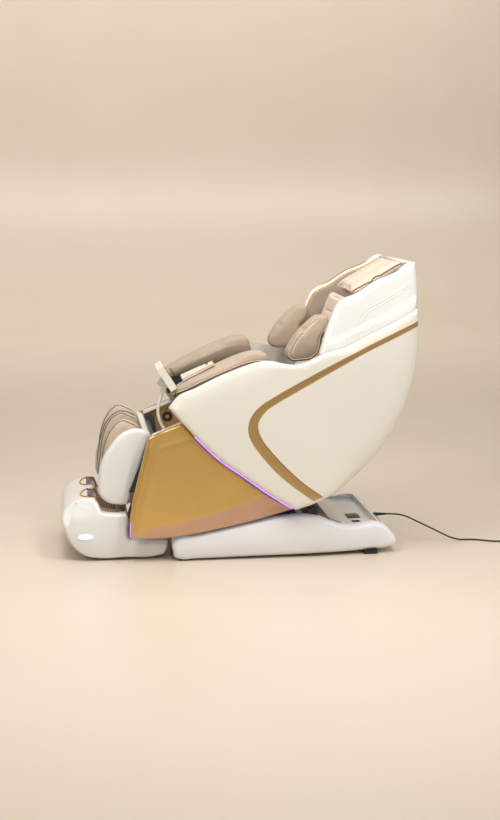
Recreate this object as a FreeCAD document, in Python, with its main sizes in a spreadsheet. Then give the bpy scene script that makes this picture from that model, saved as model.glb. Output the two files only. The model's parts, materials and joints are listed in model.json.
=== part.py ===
import FreeCAD, Part
import math
import os
import re
import Sketcher
from FreeCAD import Placement, Rotation, Vector

# Massage chair. X is across the chair (+X is the sitter's left), -Y is the front, +Z is up.
# The origin is on the floor, under the middle of the chair. All sizes are in millimetres.

doc = FreeCAD.newDocument("massage_chair")
sizes = doc.addObject("Spreadsheet::Sheet", "sizes")

# ---------------------------------------------------------------- driving sizes
SIZES = {
    # overall: the side profile is drawn at drawn_length and follows chair_length
    "chair_width": 780, "chair_length": 1510, "drawn_length": 1510,
    # gaps: between layers across the chair, round soft pieces, in running fits, at an open pivot
    "side_gap": 4, "soft_gap": 1, "running_gap": 0.05, "slack": 9,
    # widths of the units
    "seat_width": 470, "calf_width": 524, "foot_width": 560, "back_pad_width": 424,
    "pillow_width": 360, "hood_inset": 14, "cheek_depth": 50,
    # walls
    "wing_depth": 24, "wing_wall": 4, "wing_round": 12, "panel_depth": 24, "panel_wall": 3,
    "tub_wall": 8, "hood_wall": 18, "back_wall": 6, "calf_wall": 26, "foot_wall": 22,
    # metal work
    "plate": 8, "lug": 22, "pin_radius": 8, "beam": 28, "tube_radius": 20, "rod_radius": 9,
    "ear": 8, "ear_radius": 16,
    # massage mechanism, along the back
    "back_angle": 29, "back_length": 690, "back_depth": 172, "back_front": 28,
    "rail_radius": 9, "rail_spread": 110, "rail_back": 140, "screw_radius": 8,
    "end_plate": 12, "end_low": 20, "end_high": 648, "cradle_low": 62, "cradle_length": 120,
    "cradle_depth": 44, "roller_radius": 24, "roller_width": 26, "roller_back": 80,
    "roller_reach": 45, "arm_in": 44, "arm_plate": 12, "arm_pivot_back": 96, "axle_radius": 4,
    # foot box
    "well_in": 24, "well_out": 236, "lining": 12, "foot_shaft": 6, "foot_roller": 22,
    "lamp_long": 64, "lamp_tall": 22, "lamp_thick": 5,
    # calf unit
    "divider_width": 84, "calf_pad": 52,
    # small controls
    "button_radius": 6, "button_high": 5, "button_place": 0.82, "quick_thick": 22, "quick_thin": 13,
        "rocker_width": 22, "rocker_long": 28,
    "bezel_wall": 4, "rocker_gap": 3, "key_gap": 0.5,
    # foot box slide rods, set into its side walls
    "slide_radius": 7, "slide_x": 260, "slide_length": 290,
    # gooseneck and cable
    "gooseneck_radius": 6.5, "gooseneck_in": 64, "gooseneck_back": 70,
    "tablet_width": 176, "tablet_thick": 9, "tablet_margin": 3,
    "holder_thick": 24, "cable_radius": 1.8,
    "cable_in": 30, "winding_radius": 22, "winding_hole": 8, "winding_depth": 11,
    # power cord
    "cord_radius": 3.5, "coil_inner": 31, "coil_outer": 46.5, "coil_high": 22,
}

# points of the side profile, (y, z)
POINTS = {
    # pivots
    "recline": (180, 430), "tilt": (320, 190), "knee": (-345, 515), "hip": (150, 480),
    # side wing
    "wing_tip": (-302, 672), "wing_arm_front": (-255, 724), "wing_arm_mid": (-89, 799),
    "wing_arm_top": (85, 861), "wing_dip": (200, 842), "wing_neck": (337, 880),
    "wing_cheek": (540, 961), "wing_top_rear": (748, 1074), "wing_rear_high": (735, 778),
    "wing_rear_mid": (645, 549), "wing_rear_low": (489, 363), "wing_heel": (384, 278),
    "wing_toe": (233, 222), "wing_front_low": (11, 372), "wing_front_mid": (-167, 521),
    # gold side panel
    "panel_top_front": (-383, 546), "panel_top_rear": (-240, 600), "panel_low_front": (-467, 110),
    "panel_groove": (-462, 242), "panel_low_mid": (-347, 106), "panel_low_rear": (13, 164),
    # base tub
    "tub_front": (-284, 18), "tub_front_top": (-284, 92), "tub_side_front": (-190, 114),
    "tub_side_mid": (13, 155), "tub_side_rear": (231, 188), "tub_rim_high": (300, 190),
    "tub_rim_mid": (402, 150), "tub_rim_low": (498, 128), "tub_rear_top": (596, 142),
    "tub_rear_shoulder": (650, 118), "tub_rear": (697, 60), "tub_rear_low": (690, 30),
    # seat cushion
    "cushion_front_low": (-256, 410), "cushion_front": (-262, 452), "cushion_top_front": (-236, 478),
    "cushion_top_rear": (100, 448), "cushion_rear": (134, 430), "cushion_rear_low": (134, 410),
    # back cushion, front then rear
    "back_low": (153, 470), "back_mid": (330, 790), "back_high": (446, 1010), "back_top": (484, 1112),
    "back_top_rear": (520, 1094), "back_high_rear": (484, 992), "back_mid_rear": (368, 770),
    "back_low_rear": (190, 452),
    # pillow
    "pillow_low": (496, 1130), "pillow_front": (588, 1186), "pillow_high": (700, 1248),
    "pillow_top": (736, 1260), "pillow_top_rear": (736, 1236), "pillow_rear": (640, 1160),
    "pillow_low_rear": (550, 1104),
    # hood
    "hood_front_low": (346, 880), "hood_front": (352, 930), "hood_front_high": (422, 1099),
    "hood_top_front": (577, 1189), "hood_top": (741, 1264), "hood_rear_top": (750, 1200),
    "hood_rear": (755, 1096), "hood_rear_low": (750, 1076), "hood_low_mid": (540, 963),
    # shoulder pad
    "shoulder_front": (240, 962), "shoulder_low_front": (198, 888), "shoulder_low": (226, 842),
    "shoulder_low_rear": (316, 848), "shoulder_rear": (352, 880), "shoulder_top_rear": (392, 1026),
    "shoulder_top": (332, 1044),
    # armrest
    "rest_tip": (-298, 714), "rest_front": (-238, 768), "rest_mid": (-101, 836), "rest_top": (40, 896),
    "rest_rear": (118, 884), "rest_rear_low": (128, 800), "rest_seam_front": (-268, 702),
    "tray_front_low": (-262, 640), "tray_rear_low": (140, 640), "tray_rear": (150, 796),
    # calf unit
    "calf_rear_top": (-366, 534), "calf_rear_mid": (-386, 486), "calf_rear_low": (-468, 240),
    "calf_low": (-564, 252), "calf_front_low": (-596, 290), "calf_front": (-580, 418),
    "calf_arch_front": (-538, 500), "calf_arch": (-470, 562), "calf_arch_rear": (-392, 562),
    "pad_front_low": (-588, 300), "pad_front": (-578, 490), "pad_arch_front": (-545, 576),
    "pad_arch": (-488, 612), "pad_arch_rear": (-410, 574), "pad_rear_top": (-412, 520),
    "pad_rear_low": (-494, 272),
    # foot box
    "foot_rear": (-300, 84), "foot_rear_low": (-304, 30), "foot_sole_rear": (-345, 13),
    "foot_sole_front": (-605, 13), "foot_toe_low": (-682, 36), "foot_toe": (-740, 120),
    "foot_toe_top": (-755, 200), "foot_front_top": (-690, 254), "foot_top": (-612, 274),
    "foot_mid": (-560, 236), "foot_calf": (-476, 214), "foot_step": (-476, 84),
    "lamp": (-652, 109), "foot_axle": (-596, 68),
    "slide_top": (-431, 310), "slide_end": (-512.6, 64),
    # actuators: fixed pivot, moving pivot
    "recline_base": (-70, 322), "recline_lever": (205, 300),
    "leg_base": (-110, 180), "leg_lever": (-352, 460),
    "lift_base": (-122, 112), "lift_lever": (-100, 346),
    # tablet, its holder and its gooseneck
    "tablet_top": (-322, 850), "tablet_low": (-264, 758), "neck_pivot": (-322, 742),
    "winding": (-306, 632),
    # quick panel
    "quick_low": (-236, 775), "quick_high": (-104, 841),
}

cells = dict(SIZES)
for point, (y, z) in POINTS.items():
    cells[point + "_y"] = y
    cells[point + "_z"] = z
for row, (alias, number) in enumerate(cells.items(), start=1):
    sizes.set(f"A{row}", alias)
    sizes.set(f"B{row}", str(number))
    sizes.setAlias(f"B{row}", alias)
doc.recompute()

PROFILE = {point + axis for point in POINTS for axis in ("_y", "_z")}

# places across the chair that follow from other sizes
DERIVED = {
    "gooseneck_x": "(chair_width / 2 - gooseneck_in)", "cable_x": "(chair_width / 2 - cable_in)",
    # half of the room that the foot box and the leg frame need between the seat's side plates
    "leg_space": "max(foot_width / 2; calf_width / 2 + side_gap + plate)",
    # rounds of the side profile shrink with it, so that they stay thinner than its walls
    "round_scale": "min(1; chair_length / drawn_length)",
}


def expression(text):
    """Turn names of sizes into cells of the sheet; places of the side profile follow its scale."""
    def cell(match):
        word = match.group(0)
        if word in PROFILE:
            return f"(sizes.{word} * sizes.chair_length / sizes.drawn_length)"
        if word in DERIVED:
            return expression(DERIVED[word])
        return "sizes." + word if word in cells else word
    return re.sub(r"[a-z_]+[a-z_0-9]*", cell, str(text))


def size(alias):
    """The number that a size or a place of the profile has now."""
    if alias in DERIVED:
        return float(sizes.evalExpression(expression(alias).replace("sizes.", "")))
    number = float(sizes.get(alias))
    return number * size("chair_length") / size("drawn_length") if alias in PROFILE else number


def at(point, dy="0", dz="0"):
    """A corner at a named point of the profile, moved by dy and dz."""
    return f"{point}_y + {dy}", f"{point}_z + {dz}"


def bind(thing, **texts):
    for name, text in texts.items():
        thing.setExpression(name.replace("__", "."), expression(text))
    return thing


# ---------------------------------------------------------------- across the chair, from outside in
WING_OUT = "(chair_width / 2)"
WING_IN = "(chair_width / 2 - wing_depth)"
PANEL_OUT = "(chair_width / 2 - wing_depth - side_gap)"
PANEL_IN = "(chair_width / 2 - wing_depth - side_gap - panel_depth)"
BASE_HALF = "(chair_width / 2 - wing_depth - 2 * side_gap - panel_depth)"
HOOD_HALF = "(chair_width / 2 - wing_depth - hood_inset)"
CHEEK_IN = "(chair_width / 2 - wing_depth - hood_inset - cheek_depth)"
TRAY_IN = "(seat_width / 2 + 2 * side_gap)"
LEG_ARM_IN = "(calf_width / 2 + side_gap)"
LEG_ARM_OUT = "(calf_width / 2 + side_gap + plate)"
SEAT_PLATE_IN = "(leg_space + side_gap)"
SEAT_PLATE_OUT = "(leg_space + side_gap + plate)"
BRACKET_IN = "(leg_space + 2 * side_gap + plate)"
BRACKET_OUT = "(leg_space + 2 * side_gap + 2 * plate)"
TUB_IN = "(chair_width / 2 - wing_depth - 2 * side_gap - panel_depth - tub_wall)"


# ---------------------------------------------------------------- ways to make a piece
def draw(body, name, corners, x_low):
    """A closed outline of straight runs in the side view, at x_low, each corner bound to the sheet."""
    sketch = body.newObject("Sketcher::SketchObject", name)
    side_plane = [part for part in body.Origin.OriginFeatures if part.Role == "YZ_Plane"][0]
    sketch.AttachmentSupport = [(side_plane, "")]
    sketch.MapMode = "FlatFace"
    count = len(corners)
    ring = [Vector(100 * math.cos(-math.tau * turn / count), 100 * math.sin(-math.tau * turn / count), 0)
            for turn in range(count)]
    for corner in range(count):
        sketch.addGeometry(Part.LineSegment(ring[corner], ring[(corner + 1) % count]))
    for corner in range(count):
        sketch.addConstraint(Sketcher.Constraint("Coincident", corner, 2, (corner + 1) % count, 1))
    for corner, place in enumerate(corners):
        for kind, text, start in zip(("DistanceX", "DistanceY"), place, ring[corner]):
            which = sketch.addConstraint(Sketcher.Constraint(kind, -1, 1, corner, 1, start))
            sketch.setExpression(f"Constraints[{which}]", expression(text))
    sketch.setExpression("AttachmentOffset.Base.z", expression(x_low))
    doc.recompute()
    return sketch


def edges_at(feature, sketch, corner):
    """The edges across the chair that stand on one corner of the outline."""
    place = sketch.Geometry[corner].StartPoint
    found = []
    for number, edge in enumerate(feature.Shape.Edges, start=1):
        ends = [vertex.Point for vertex in edge.Vertexes]
        if len(ends) == 2 and abs(ends[0].x - ends[1].x) > 1:
            if all(abs(end.y - place.x) < 0.01 and abs(end.z - place.y) < 0.01 for end in ends):
                found.append(f"Edge{number}")
    return found


def block(name, corners, x_low, x_high, rounds=()):
    """A body padded from x_low to x_high; rounds lists (radius, corner, corner, ...)."""
    body = doc.addObject("PartDesign::Body", name)
    body.Label = name
    sketch = draw(body, name + "_outline", corners, x_low)
    pad = body.newObject("PartDesign::Pad", name + "_pad")
    pad.Profile = sketch
    bind(pad, Length=f"{x_high} - ({x_low})")
    doc.recompute()
    for order, (radius, *which) in enumerate(rounds):
        tip = body.Tip
        picked = [edge for corner in which for edge in edges_at(tip, sketch, corner)]
        rounding = body.newObject("PartDesign::Fillet", f"{name}_round_{order}")
        rounding.Base = (tip, picked)
        bind(rounding, Radius=f"({radius}) * round_scale")
        doc.recompute()
    return body


def soften(body, radius, side=0):
    """Round the rim of the flat faces that look along X: side 1 or -1 for one face, 0 for both."""
    tip = body.Tip
    faces = []
    box = tip.Shape.BoundBox
    for number, face in enumerate(tip.Shape.Faces, start=1):
        flat = face.BoundBox.XLength < 0.001
        if flat and side >= 0 and abs(face.BoundBox.XMax - box.XMax) < 0.001:
            faces.append(f"Face{number}")
        if flat and side <= 0 and abs(face.BoundBox.XMin - box.XMin) < 0.001:
            faces.append(f"Face{number}")
    rounding = body.newObject("PartDesign::Fillet", body.Name + "_rim")
    rounding.Base = (tip, faces)
    bind(rounding, Radius=f"({radius}) * round_scale")
    doc.recompute()
    return body


def hollow(body, wall, side):
    """Leave only a wall, open on the face that looks to side."""
    tip = body.Tip
    box = tip.Shape.BoundBox
    edge = box.XMax if side > 0 else box.XMin
    face = [f"Face{number}" for number, face in enumerate(tip.Shape.Faces, start=1)
            if face.BoundBox.XLength < 0.001 and abs(face.BoundBox.XMax - edge) < 0.001][0]
    shell = body.newObject("PartDesign::Thickness", body.Name + "_wall")
    shell.Base = (tip, [face])
    shell.Reversed = True
    bind(shell, Value=wall)
    doc.recompute()
    return body


def pocket(body, name, corners, x_low, x_high):
    """Cut an outline out of a body from x_low to x_high, and prove that it took material away."""
    before = body.Shape.Volume
    sketch = draw(body, name + "_outline", corners, x_low)
    cut = body.newObject("PartDesign::Pocket", name)
    cut.Profile = sketch
    cut.Reversed = True
    bind(cut, Length=f"{x_high} - ({x_low})")
    doc.recompute()
    assert body.Shape.Volume < before - 1, f"{name} cut nothing"
    return body


def box(name, x_low, x_high, y_low, y_high, z_low, z_high):
    piece = doc.addObject("Part::Box", name)
    piece.Label = name
    return bind(piece, Length=f"{x_high} - ({x_low})", Width=f"{y_high} - ({y_low})",
                Height=f"{z_high} - ({z_low})", Placement__Base__x=x_low,
                Placement__Base__y=y_low, Placement__Base__z=z_low)


def leaning_box(name, x_low, x_high, depth_low, depth_high, up_low, up_high):
    """A box in the back's own directions: depth goes back from its front line, up goes along it."""
    piece = doc.addObject("Part::Box", name)
    piece.Label = name
    piece.Placement = Placement(Vector(), Rotation(Vector(1, 0, 0), 1))
    bind(piece, Length=f"{x_high} - ({x_low})", Width=f"{depth_high} - ({depth_low})",
         Height=f"{up_high} - ({up_low})")
    return lean(piece, x_low, depth_low, up_low, "-back_angle")


def lean(piece, x_low, depth, up, turn):
    """Place a piece at a depth and height measured from the hip along the leaning back."""
    return bind(piece, Placement__Rotation__Angle=turn, Placement__Base__x=x_low,
                Placement__Base__y=f"hip_y + ({depth}) * cos(back_angle) + ({up}) * sin(back_angle)",
                Placement__Base__z=f"hip_z - ({depth}) * sin(back_angle) + ({up}) * cos(back_angle)")


def crosswise(name, radius, x_low, x_high, y, z):
    """A cylinder along X."""
    piece = doc.addObject("Part::Cylinder", name)
    piece.Label = name
    piece.Placement = Placement(Vector(), Rotation(Vector(0, 1, 0), 90))
    return bind(piece, Radius=radius, Height=f"{x_high} - ({x_low})",
                Placement__Base__x=x_low, Placement__Base__y=y, Placement__Base__z=z)


def leaning_crosswise(name, radius, x_low, x_high, depth, up):
    piece = crosswise(name, radius, x_low, x_high, "0", "0")
    return bind(piece,
                Placement__Base__y=f"hip_y + ({depth}) * cos(back_angle) + ({up}) * sin(back_angle)",
                Placement__Base__z=f"hip_z - ({depth}) * sin(back_angle) + ({up}) * cos(back_angle)")


def along_back(name, radius, x, depth, up_low, up_high):
    """A rod that runs up the back."""
    piece = doc.addObject("Part::Cylinder", name)
    piece.Label = name
    piece.Placement = Placement(Vector(), Rotation(Vector(1, 0, 0), 1))
    bind(piece, Radius=radius, Height=f"{up_high} - ({up_low})")
    return lean(piece, x, depth, up_low, "-back_angle")


def between(name, radius, x, start, end, skip, length):
    """A rod in the side view on the line from one named point to another, skip past the start."""
    piece = doc.addObject("Part::Cylinder", name)
    piece.Label = name
    piece.Placement = Placement(Vector(), Rotation(Vector(1, 0, 0), 1))
    dy = f"({end}_y - {start}_y)"
    dz = f"({end}_z - {start}_z)"
    run = f"sqrt({dy} * {dy} + {dz} * {dz})"
    return bind(piece, Radius=radius, Height=length, Placement__Rotation__Angle=f"atan2(-{dy}; {dz})",
                Placement__Base__x=x, Placement__Base__y=f"{start}_y + ({skip}) * {dy} / {run}",
                Placement__Base__z=f"{start}_z + ({skip}) * {dz} / {run}")


def fuse(name, pieces):
    joined = doc.addObject("Part::MultiFuse", name)
    joined.Label = name
    joined.Shapes = pieces
    doc.recompute()
    return joined


def cut(name, piece, tools):
    """Take one tool, or several fused, away from a piece."""
    rest = doc.addObject("Part::Cut", name)
    rest.Label = name
    rest.Base = piece
    rest.Tool = tools[0] if len(tools) == 1 else fuse(name + "_tools", tools)
    doc.recompute()
    return rest


def group(name, pieces):
    """Several separate solids that are one named sub-part."""
    together = doc.addObject("Part::Compound", name)
    together.Label = name
    together.Links = pieces
    doc.recompute()
    return together


def mirrored_blocks(name, corners, x_in, x_out, rounds=(), rim=None):
    """The same padded outline on the left and on the right."""
    pair = []
    for side, low, high in (("left", x_in, x_out), ("right", f"-{x_out}", f"-{x_in}")):
        body = block(f"{name}_{side}", corners, low, high, rounds)
        pair.append(soften(body, rim) if rim else body)
    return pair


def smooth_run(points, radius_share=0.45):
    """Straight runs joined by tangent arcs, each as large as its two runs allow."""
    edges = []
    radii = []
    start = points[0]
    for before, corner, after in zip(points, points[1:], points[2:]):
        to_before = before - corner
        to_after = after - corner
        shorter = min(to_before.Length, to_after.Length)
        back = radius_share * shorter
        turn = math.pi - to_before.getAngle(to_after)
        radii.append(back / math.tan(turn / 2))
        enter = corner + to_before.normalize() * back
        leave = corner + to_after.normalize() * back
        centre_way = (to_before + to_after).normalize()
        middle = corner + centre_way * (radii[-1] / math.cos(turn / 2) - radii[-1])
        edges.append(Part.LineSegment(start, enter).toShape())
        edges.append(Part.Arc(enter, middle, leave).toShape())
        start = leave
    edges.append(Part.LineSegment(start, points[-1]).toShape())
    return Part.Wire(edges), radii


def tube(name, points, radius):
    """A round cord or rod along a route, checked against its section times its length."""
    path, radii = smooth_run([Vector(*point) for point in points])
    way = (Vector(*points[1]) - Vector(*points[0])).normalize()
    section = Part.Wire(Part.Circle(Vector(*points[0]), way, radius).toShape())
    solid = path.makePipeShell([section], True, False)
    piece = doc.addObject("Part::Feature", name)
    piece.Label = name
    piece.Shape = solid
    expected = math.pi * radius ** 2 * path.Length
    print(f"{name}: length {path.Length:.0f}, smallest radius {min(radii):.0f}, "
          f"radii {[round(r) for r in radii]}, volume {piece.Shape.Volume / expected:.3f} of expected")
    return piece


# ---------------------------------------------------------------- base
def make_base():
    tub = block("base_shell", [
        at("tub_front"), at("tub_front_top"), at("tub_side_front"), at("tub_side_mid"),
        at("tub_side_rear"), at("tub_rim_high"), at("tub_rim_mid"), at("tub_rim_low"),
        at("tub_rear_top"), at("tub_rear_shoulder"), at("tub_rear"), at("tub_rear_low"),
        ("tub_rear_low_y - 60", "tub_front_z")],
        f"-{BASE_HALF}", BASE_HALF, rounds=[("tub_wall * 2", 0, 9)])
    soften(tub, "tub_wall / 2")
    pocket(tub, "base_hollow", [
        at("tub_front", "tub_wall", "tub_wall"), ("tub_front_y + tub_wall", "tub_rim_high_z + beam"),
        ("tub_rear_top_y - tub_wall", "tub_rim_high_z + beam"), at("tub_rear_top", "-tub_wall", "-tub_wall"),
        at("tub_rear_shoulder", "-tub_wall", "-tub_wall * 1.5"), at("tub_rear", "-tub_wall * 1.6"),
        ("tub_rear_low_y - 64", "tub_front_z + tub_wall")],
        f"-{TUB_IN}", TUB_IN)
    deck_low = "(tub_rim_low_z - 16)"
    deck = block("base_deck", [
        ("tub_rim_high_y + beam * 2", "tub_rim_mid_z + tub_wall"),
        ("tub_rim_high_y + beam * 2", "tub_rim_mid_z + tub_wall * 1.6"),
        ("tub_rim_mid_y + beam * 1.5", f"{deck_low} + tub_wall"),
        ("tub_rear_top_y - tub_wall - side_gap / 2", f"{deck_low} + tub_wall"),
        ("tub_rear_top_y - tub_wall - side_gap / 2", deck_low),
        ("tub_rim_mid_y + beam * 1.5", deck_low)],
        f"-{TUB_IN} + side_gap / 4", f"{TUB_IN} - side_gap / 4")
    switch_y = "(tub_rear_top_y - 64)"
    switch_x = "(chair_width / 4)"
    pocket(deck, "switch_opening", [
        (f"{switch_y} - rocker_long / 2 - bezel_wall", f"{deck_low} - tub_wall"),
        (f"{switch_y} - rocker_long / 2 - bezel_wall", f"{deck_low} + 2 * tub_wall"),
        (f"{switch_y} + rocker_long / 2 + bezel_wall", f"{deck_low} + 2 * tub_wall"),
        (f"{switch_y} + rocker_long / 2 + bezel_wall", f"{deck_low} - tub_wall")],
        f"{switch_x} - rocker_width / 2 - bezel_wall", f"{switch_x} + rocker_width / 2 + bezel_wall")
    rocker_z = f"({deck_low} + tub_wall - rod_radius)"
    bezel = cut("switch_housing", box(
        "switch_block", f"{switch_x} - rocker_width / 2 - bezel_wall",
        f"{switch_x} + rocker_width / 2 + bezel_wall",
        f"{switch_y} - rocker_long / 2 - bezel_wall", f"{switch_y} + rocker_long / 2 + bezel_wall",
        f"{rocker_z} - rod_radius", f"{deck_low} + tub_wall + bezel_wall / 2"), [
        box("switch_well", f"{switch_x} - rocker_width / 2", f"{switch_x} + rocker_width / 2",
            f"{switch_y} - rocker_long / 2", f"{switch_y} + rocker_long / 2",
            f"{rocker_z} - rod_radius + bezel_wall", f"{deck_low} + 2 * tub_wall"),
        crosswise("switch_axis", "axle_radius / 2 + running_gap",
                  f"{switch_x} - rocker_width / 2 - bezel_wall / 2",
                  f"{switch_x} + rocker_width / 2 + bezel_wall / 2", switch_y, rocker_z)])
    keycap = block("rocker_key", [
        (f"{switch_y} - rocker_long / 2 + rocker_gap", f"{rocker_z} + rod_radius + 1"),
        (switch_y, f"{rocker_z} + rod_radius - 1"),
        (f"{switch_y} + rocker_long / 2 - rocker_gap", f"{rocker_z} + rod_radius - 2"),
        (switch_y, f"{rocker_z} - axle_radius")],
        f"{switch_x} - rocker_width / 2 + key_gap", f"{switch_x} + rocker_width / 2 - key_gap")
    rocker = fuse("power_rocker", [keycap, crosswise(
        "rocker_axle", "axle_radius / 2", f"{switch_x} - rocker_width / 2 - 1",
        f"{switch_x} + rocker_width / 2 + 1", switch_y, rocker_z)])

    floor = "(tub_front_z + tub_wall)"
    rail_in = "(leg_space - beam)"
    rail_out = "(leg_space)"
    rails = []
    for side, low, high in (("left", rail_in, rail_out), ("right", f"-{rail_out}", f"-{rail_in}")):
        rails.append(box(f"slide_rail_{side}", low, high, "tub_front_y + 2 * tub_wall",
            "tub_rim_high_y + beam",
                         floor, f"{floor} + beam / 2"))
    frame = fuse("base_frame", rails + [
        box("frame_front", f"-{rail_in}", rail_in, "tub_front_y + 2 * tub_wall",
            "tub_front_y + 2 * tub_wall + beam", floor, f"{floor} + beam / 4"),
        box("frame_rear", f"-{rail_in}", rail_in, "tub_rim_high_y", "tub_rim_high_y + beam",
            floor, f"{floor} + beam / 4")])
    foot_x = "(leg_space - beam)"
    feet = []
    for side, low in (("left", foot_x), ("right", f"-{foot_x} - 2 * beam")):
        for end, y_low in (("front", "tub_front_y + beam"), ("rear", "tub_rear_low_y - 5 * beam")):
            feet.append(box(f"foot_{end}_{side}", low, f"{low} + 2 * beam", y_low, f"{y_low} + 2 * beam",
                            "0", "tub_front_z"))
    feet = group("base_feet", feet)
    supply = box("power_supply", "beam", "7 * beam", "tub_front_y + 7 * beam", "tub_front_y + 12 * beam",
                 floor, f"{floor} + 2.2 * beam")
    pump = cut("air_pump", block("pump_case", [
        ("tub_side_mid_y + beam", floor), ("tub_side_mid_y + beam", f"{floor} + 2.6 * beam"),
        ("tub_side_mid_y + 5 * beam", f"{floor} + 2.6 * beam"), ("tub_side_mid_y + 5 * beam", floor)],
        "-7 * beam", "-beam", rounds=[("beam / 4", 1, 2)]), [
        crosswise("pump_port", "axle_radius", "-2 * beam", "-beam + 1", "tub_side_mid_y + 3 * beam",
                  f"{floor} + 1.4 * beam")])
    board = box("control_box", "-7 * beam", "-beam", "tub_side_mid_y - 3.6 * beam",
                "tub_side_mid_y - 0.1 * beam", floor, f"{floor} + 1.6 * beam")
    return [tub, deck, bezel, frame, feet, supply, pump, board], [rocker]


# ---------------------------------------------------------------- actuators
def make_actuator(name, start, end, x, tube_length, stroke_left, lever_slack):
    """A tube that turns on a pin at start, and the rod that slides in it towards end."""
    reach = "sqrt(({1}_y - {0}_y) ^ 2 + ({1}_z - {0}_z) ^ 2)".format(start, end)
    skip = "(ear_radius + ear)"
    body = between(f"{name}_barrel", "tube_radius", x, start, end, skip, tube_length)
    bore = between(f"{name}_bore", "rod_radius + running_gap", x, start, end, f"{skip} + ear",
                   f"{tube_length}")
    eye = crosswise(f"{name}_eye", "ear_radius", f"{x} - ear", f"{x} + ear", f"{start}_y", f"{start}_z")
    neck = between(f"{name}_neck", "ear * 0.8", x, start, end, "pin_radius + ear / 2", skip)
    hole = crosswise(f"{name}_eye_hole", "pin_radius + running_gap", f"{x} - 2 * ear", f"{x} + 2 * ear",
                     f"{start}_y", f"{start}_z")
    barrel = cut(f"{name}_tube", fuse(f"{name}_tube_solid", [body, eye, neck]), [bore, hole])
    rod_start = f"({skip} + ear + {stroke_left})"
    shaft = between(f"{name}_shaft", "rod_radius", x, start, end, rod_start,
                    f"{reach} - {rod_start} - pin_radius - {lever_slack} - ear / 2")
    ring = cut(f"{name}_rod_ring", crosswise(
        f"{name}_ring_solid", f"pin_radius + {lever_slack} + ear", f"{x} - ear", f"{x} + ear",
        f"{end}_y", f"{end}_z"), [crosswise(
            f"{name}_ring_hole", f"pin_radius + {lever_slack}", f"{x} - 2 * ear", f"{x} + 2 * ear",
            f"{end}_y", f"{end}_z")])
    rod = fuse(f"{name}_rod", [shaft, ring])
    return barrel, rod


def pin_and_lugs(name, point, x, hang_from_y, hang_from_z, width="beam", apart="1.5 * ear",
                 up="+", down="-"):
    """Two ears with a pin through them at a named point, hung from a bar at the given place.

    With up and down exchanged, the ears stand on the bar instead."""
    pieces = [crosswise(f"{name}_pin", "pin_radius", f"{x} - {apart} - ear", f"{x} + {apart} + ear",
                        f"{point}_y", f"{point}_z")]
    for side, low, high in (("left", f"{x} + {apart}", f"{x} + {apart} + ear"),
                            ("right", f"{x} - {apart} - ear", f"{x} - {apart}")):
        pieces.append(block(f"{name}_ear_{side}", [
            (f"{point}_y - ear_radius", f"{point}_z {down} ear_radius"),
            (f"{point}_y - ear_radius", f"{point}_z {up} ear_radius"),
            (f"{hang_from_y} - {width} / 2", hang_from_z), (f"{hang_from_y} + {width} / 2", hang_from_z),
            (f"{point}_y + ear_radius", f"{point}_z {up} ear_radius"),
            (f"{point}_y + ear_radius", f"{point}_z {down} ear_radius")], low, high))
    return pieces


# ---------------------------------------------------------------- sliding carriage under the seat
def make_carriage():
    floor = "(tub_front_z + tub_wall + beam / 2)"
    top = f"({floor} + side_gap + beam)"
    pieces = []
    for side, low, high in (("left", "(leg_space - beam)", "(leg_space)"),
                            ("right", "-(leg_space)", "-(leg_space - beam)")):
        pieces.append(box(f"carriage_beam_{side}", low, high, "lift_base_y - beam / 2", "tilt_y + beam / 2",
                          f"{floor} + side_gap", top))
    pieces.append(box("carriage_front", "-leg_space + beam", "leg_space - beam",
                      "lift_base_y - beam / 2", "lift_base_y + beam / 2", f"{top} - beam / 2", top))
    pieces.append(box("carriage_rear", "-leg_space + beam", "leg_space - beam",
                      "tilt_y - beam / 2", "tilt_y + beam / 2", f"{top} - beam / 2", top))
    pieces += pin_and_lugs("lift_foot", "lift_base", "0", "lift_base_y", f"{top} - 1", up="-", down="+")
    frame = fuse("slide_carriage", pieces)
    blocks = []
    for side, low in (("left", "(leg_space - beam)"), ("right", "-(leg_space)")):
        for end, y_low in (("front", "lift_base_y"), ("rear", "tilt_y - 2 * beam")):
            blocks.append(box(f"slide_block_{end}_{side}", low, f"{low} + beam", y_low, f"{y_low} + beam",
                              f"{floor} + running_gap", f"{floor} + side_gap"))
    blocks = group("slide_blocks", blocks)
    brackets = []
    for side, low, high in (("left", BRACKET_IN, BRACKET_OUT), ("right", f"-{BRACKET_OUT}",
        f"-{BRACKET_IN}")):
        plate = block(f"hinge_plate_{side}", [
            ("tilt_y - 2 * lug", f"{top} - beam"), ("tilt_y - 2 * lug", f"{top}"),
            ("tilt_y - lug", "tilt_z + lug"), ("tilt_y + lug", "tilt_z + lug"), ("tilt_y + lug", top),
            ("tilt_y + lug", f"{top} - beam")], low, high, rounds=[("lug * 0.9", 2, 3)])
        foot_low, foot_high = (("(leg_space)", BRACKET_IN) if side == "left"
                               else (f"-{BRACKET_IN}", "-(leg_space)"))
        foot = box(f"hinge_foot_{side}", foot_low, foot_high, "tilt_y - lug", "tilt_y + beam / 2",
                   f"{top} - beam", f"{top}")
        stub = crosswise(f"hinge_stub_{side}", "pin_radius",
                         SEAT_PLATE_IN if side == "left" else f"-{BRACKET_IN} - plate / 2",
                         f"{BRACKET_IN} + plate / 2" if side == "left" else f"-{SEAT_PLATE_IN}",
                         "tilt_y", "tilt_z")
        brackets.append(fuse(f"hinge_bracket_{side}", [plate, foot, stub]))
    return [frame, blocks, group("hinge_brackets", brackets)]


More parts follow.
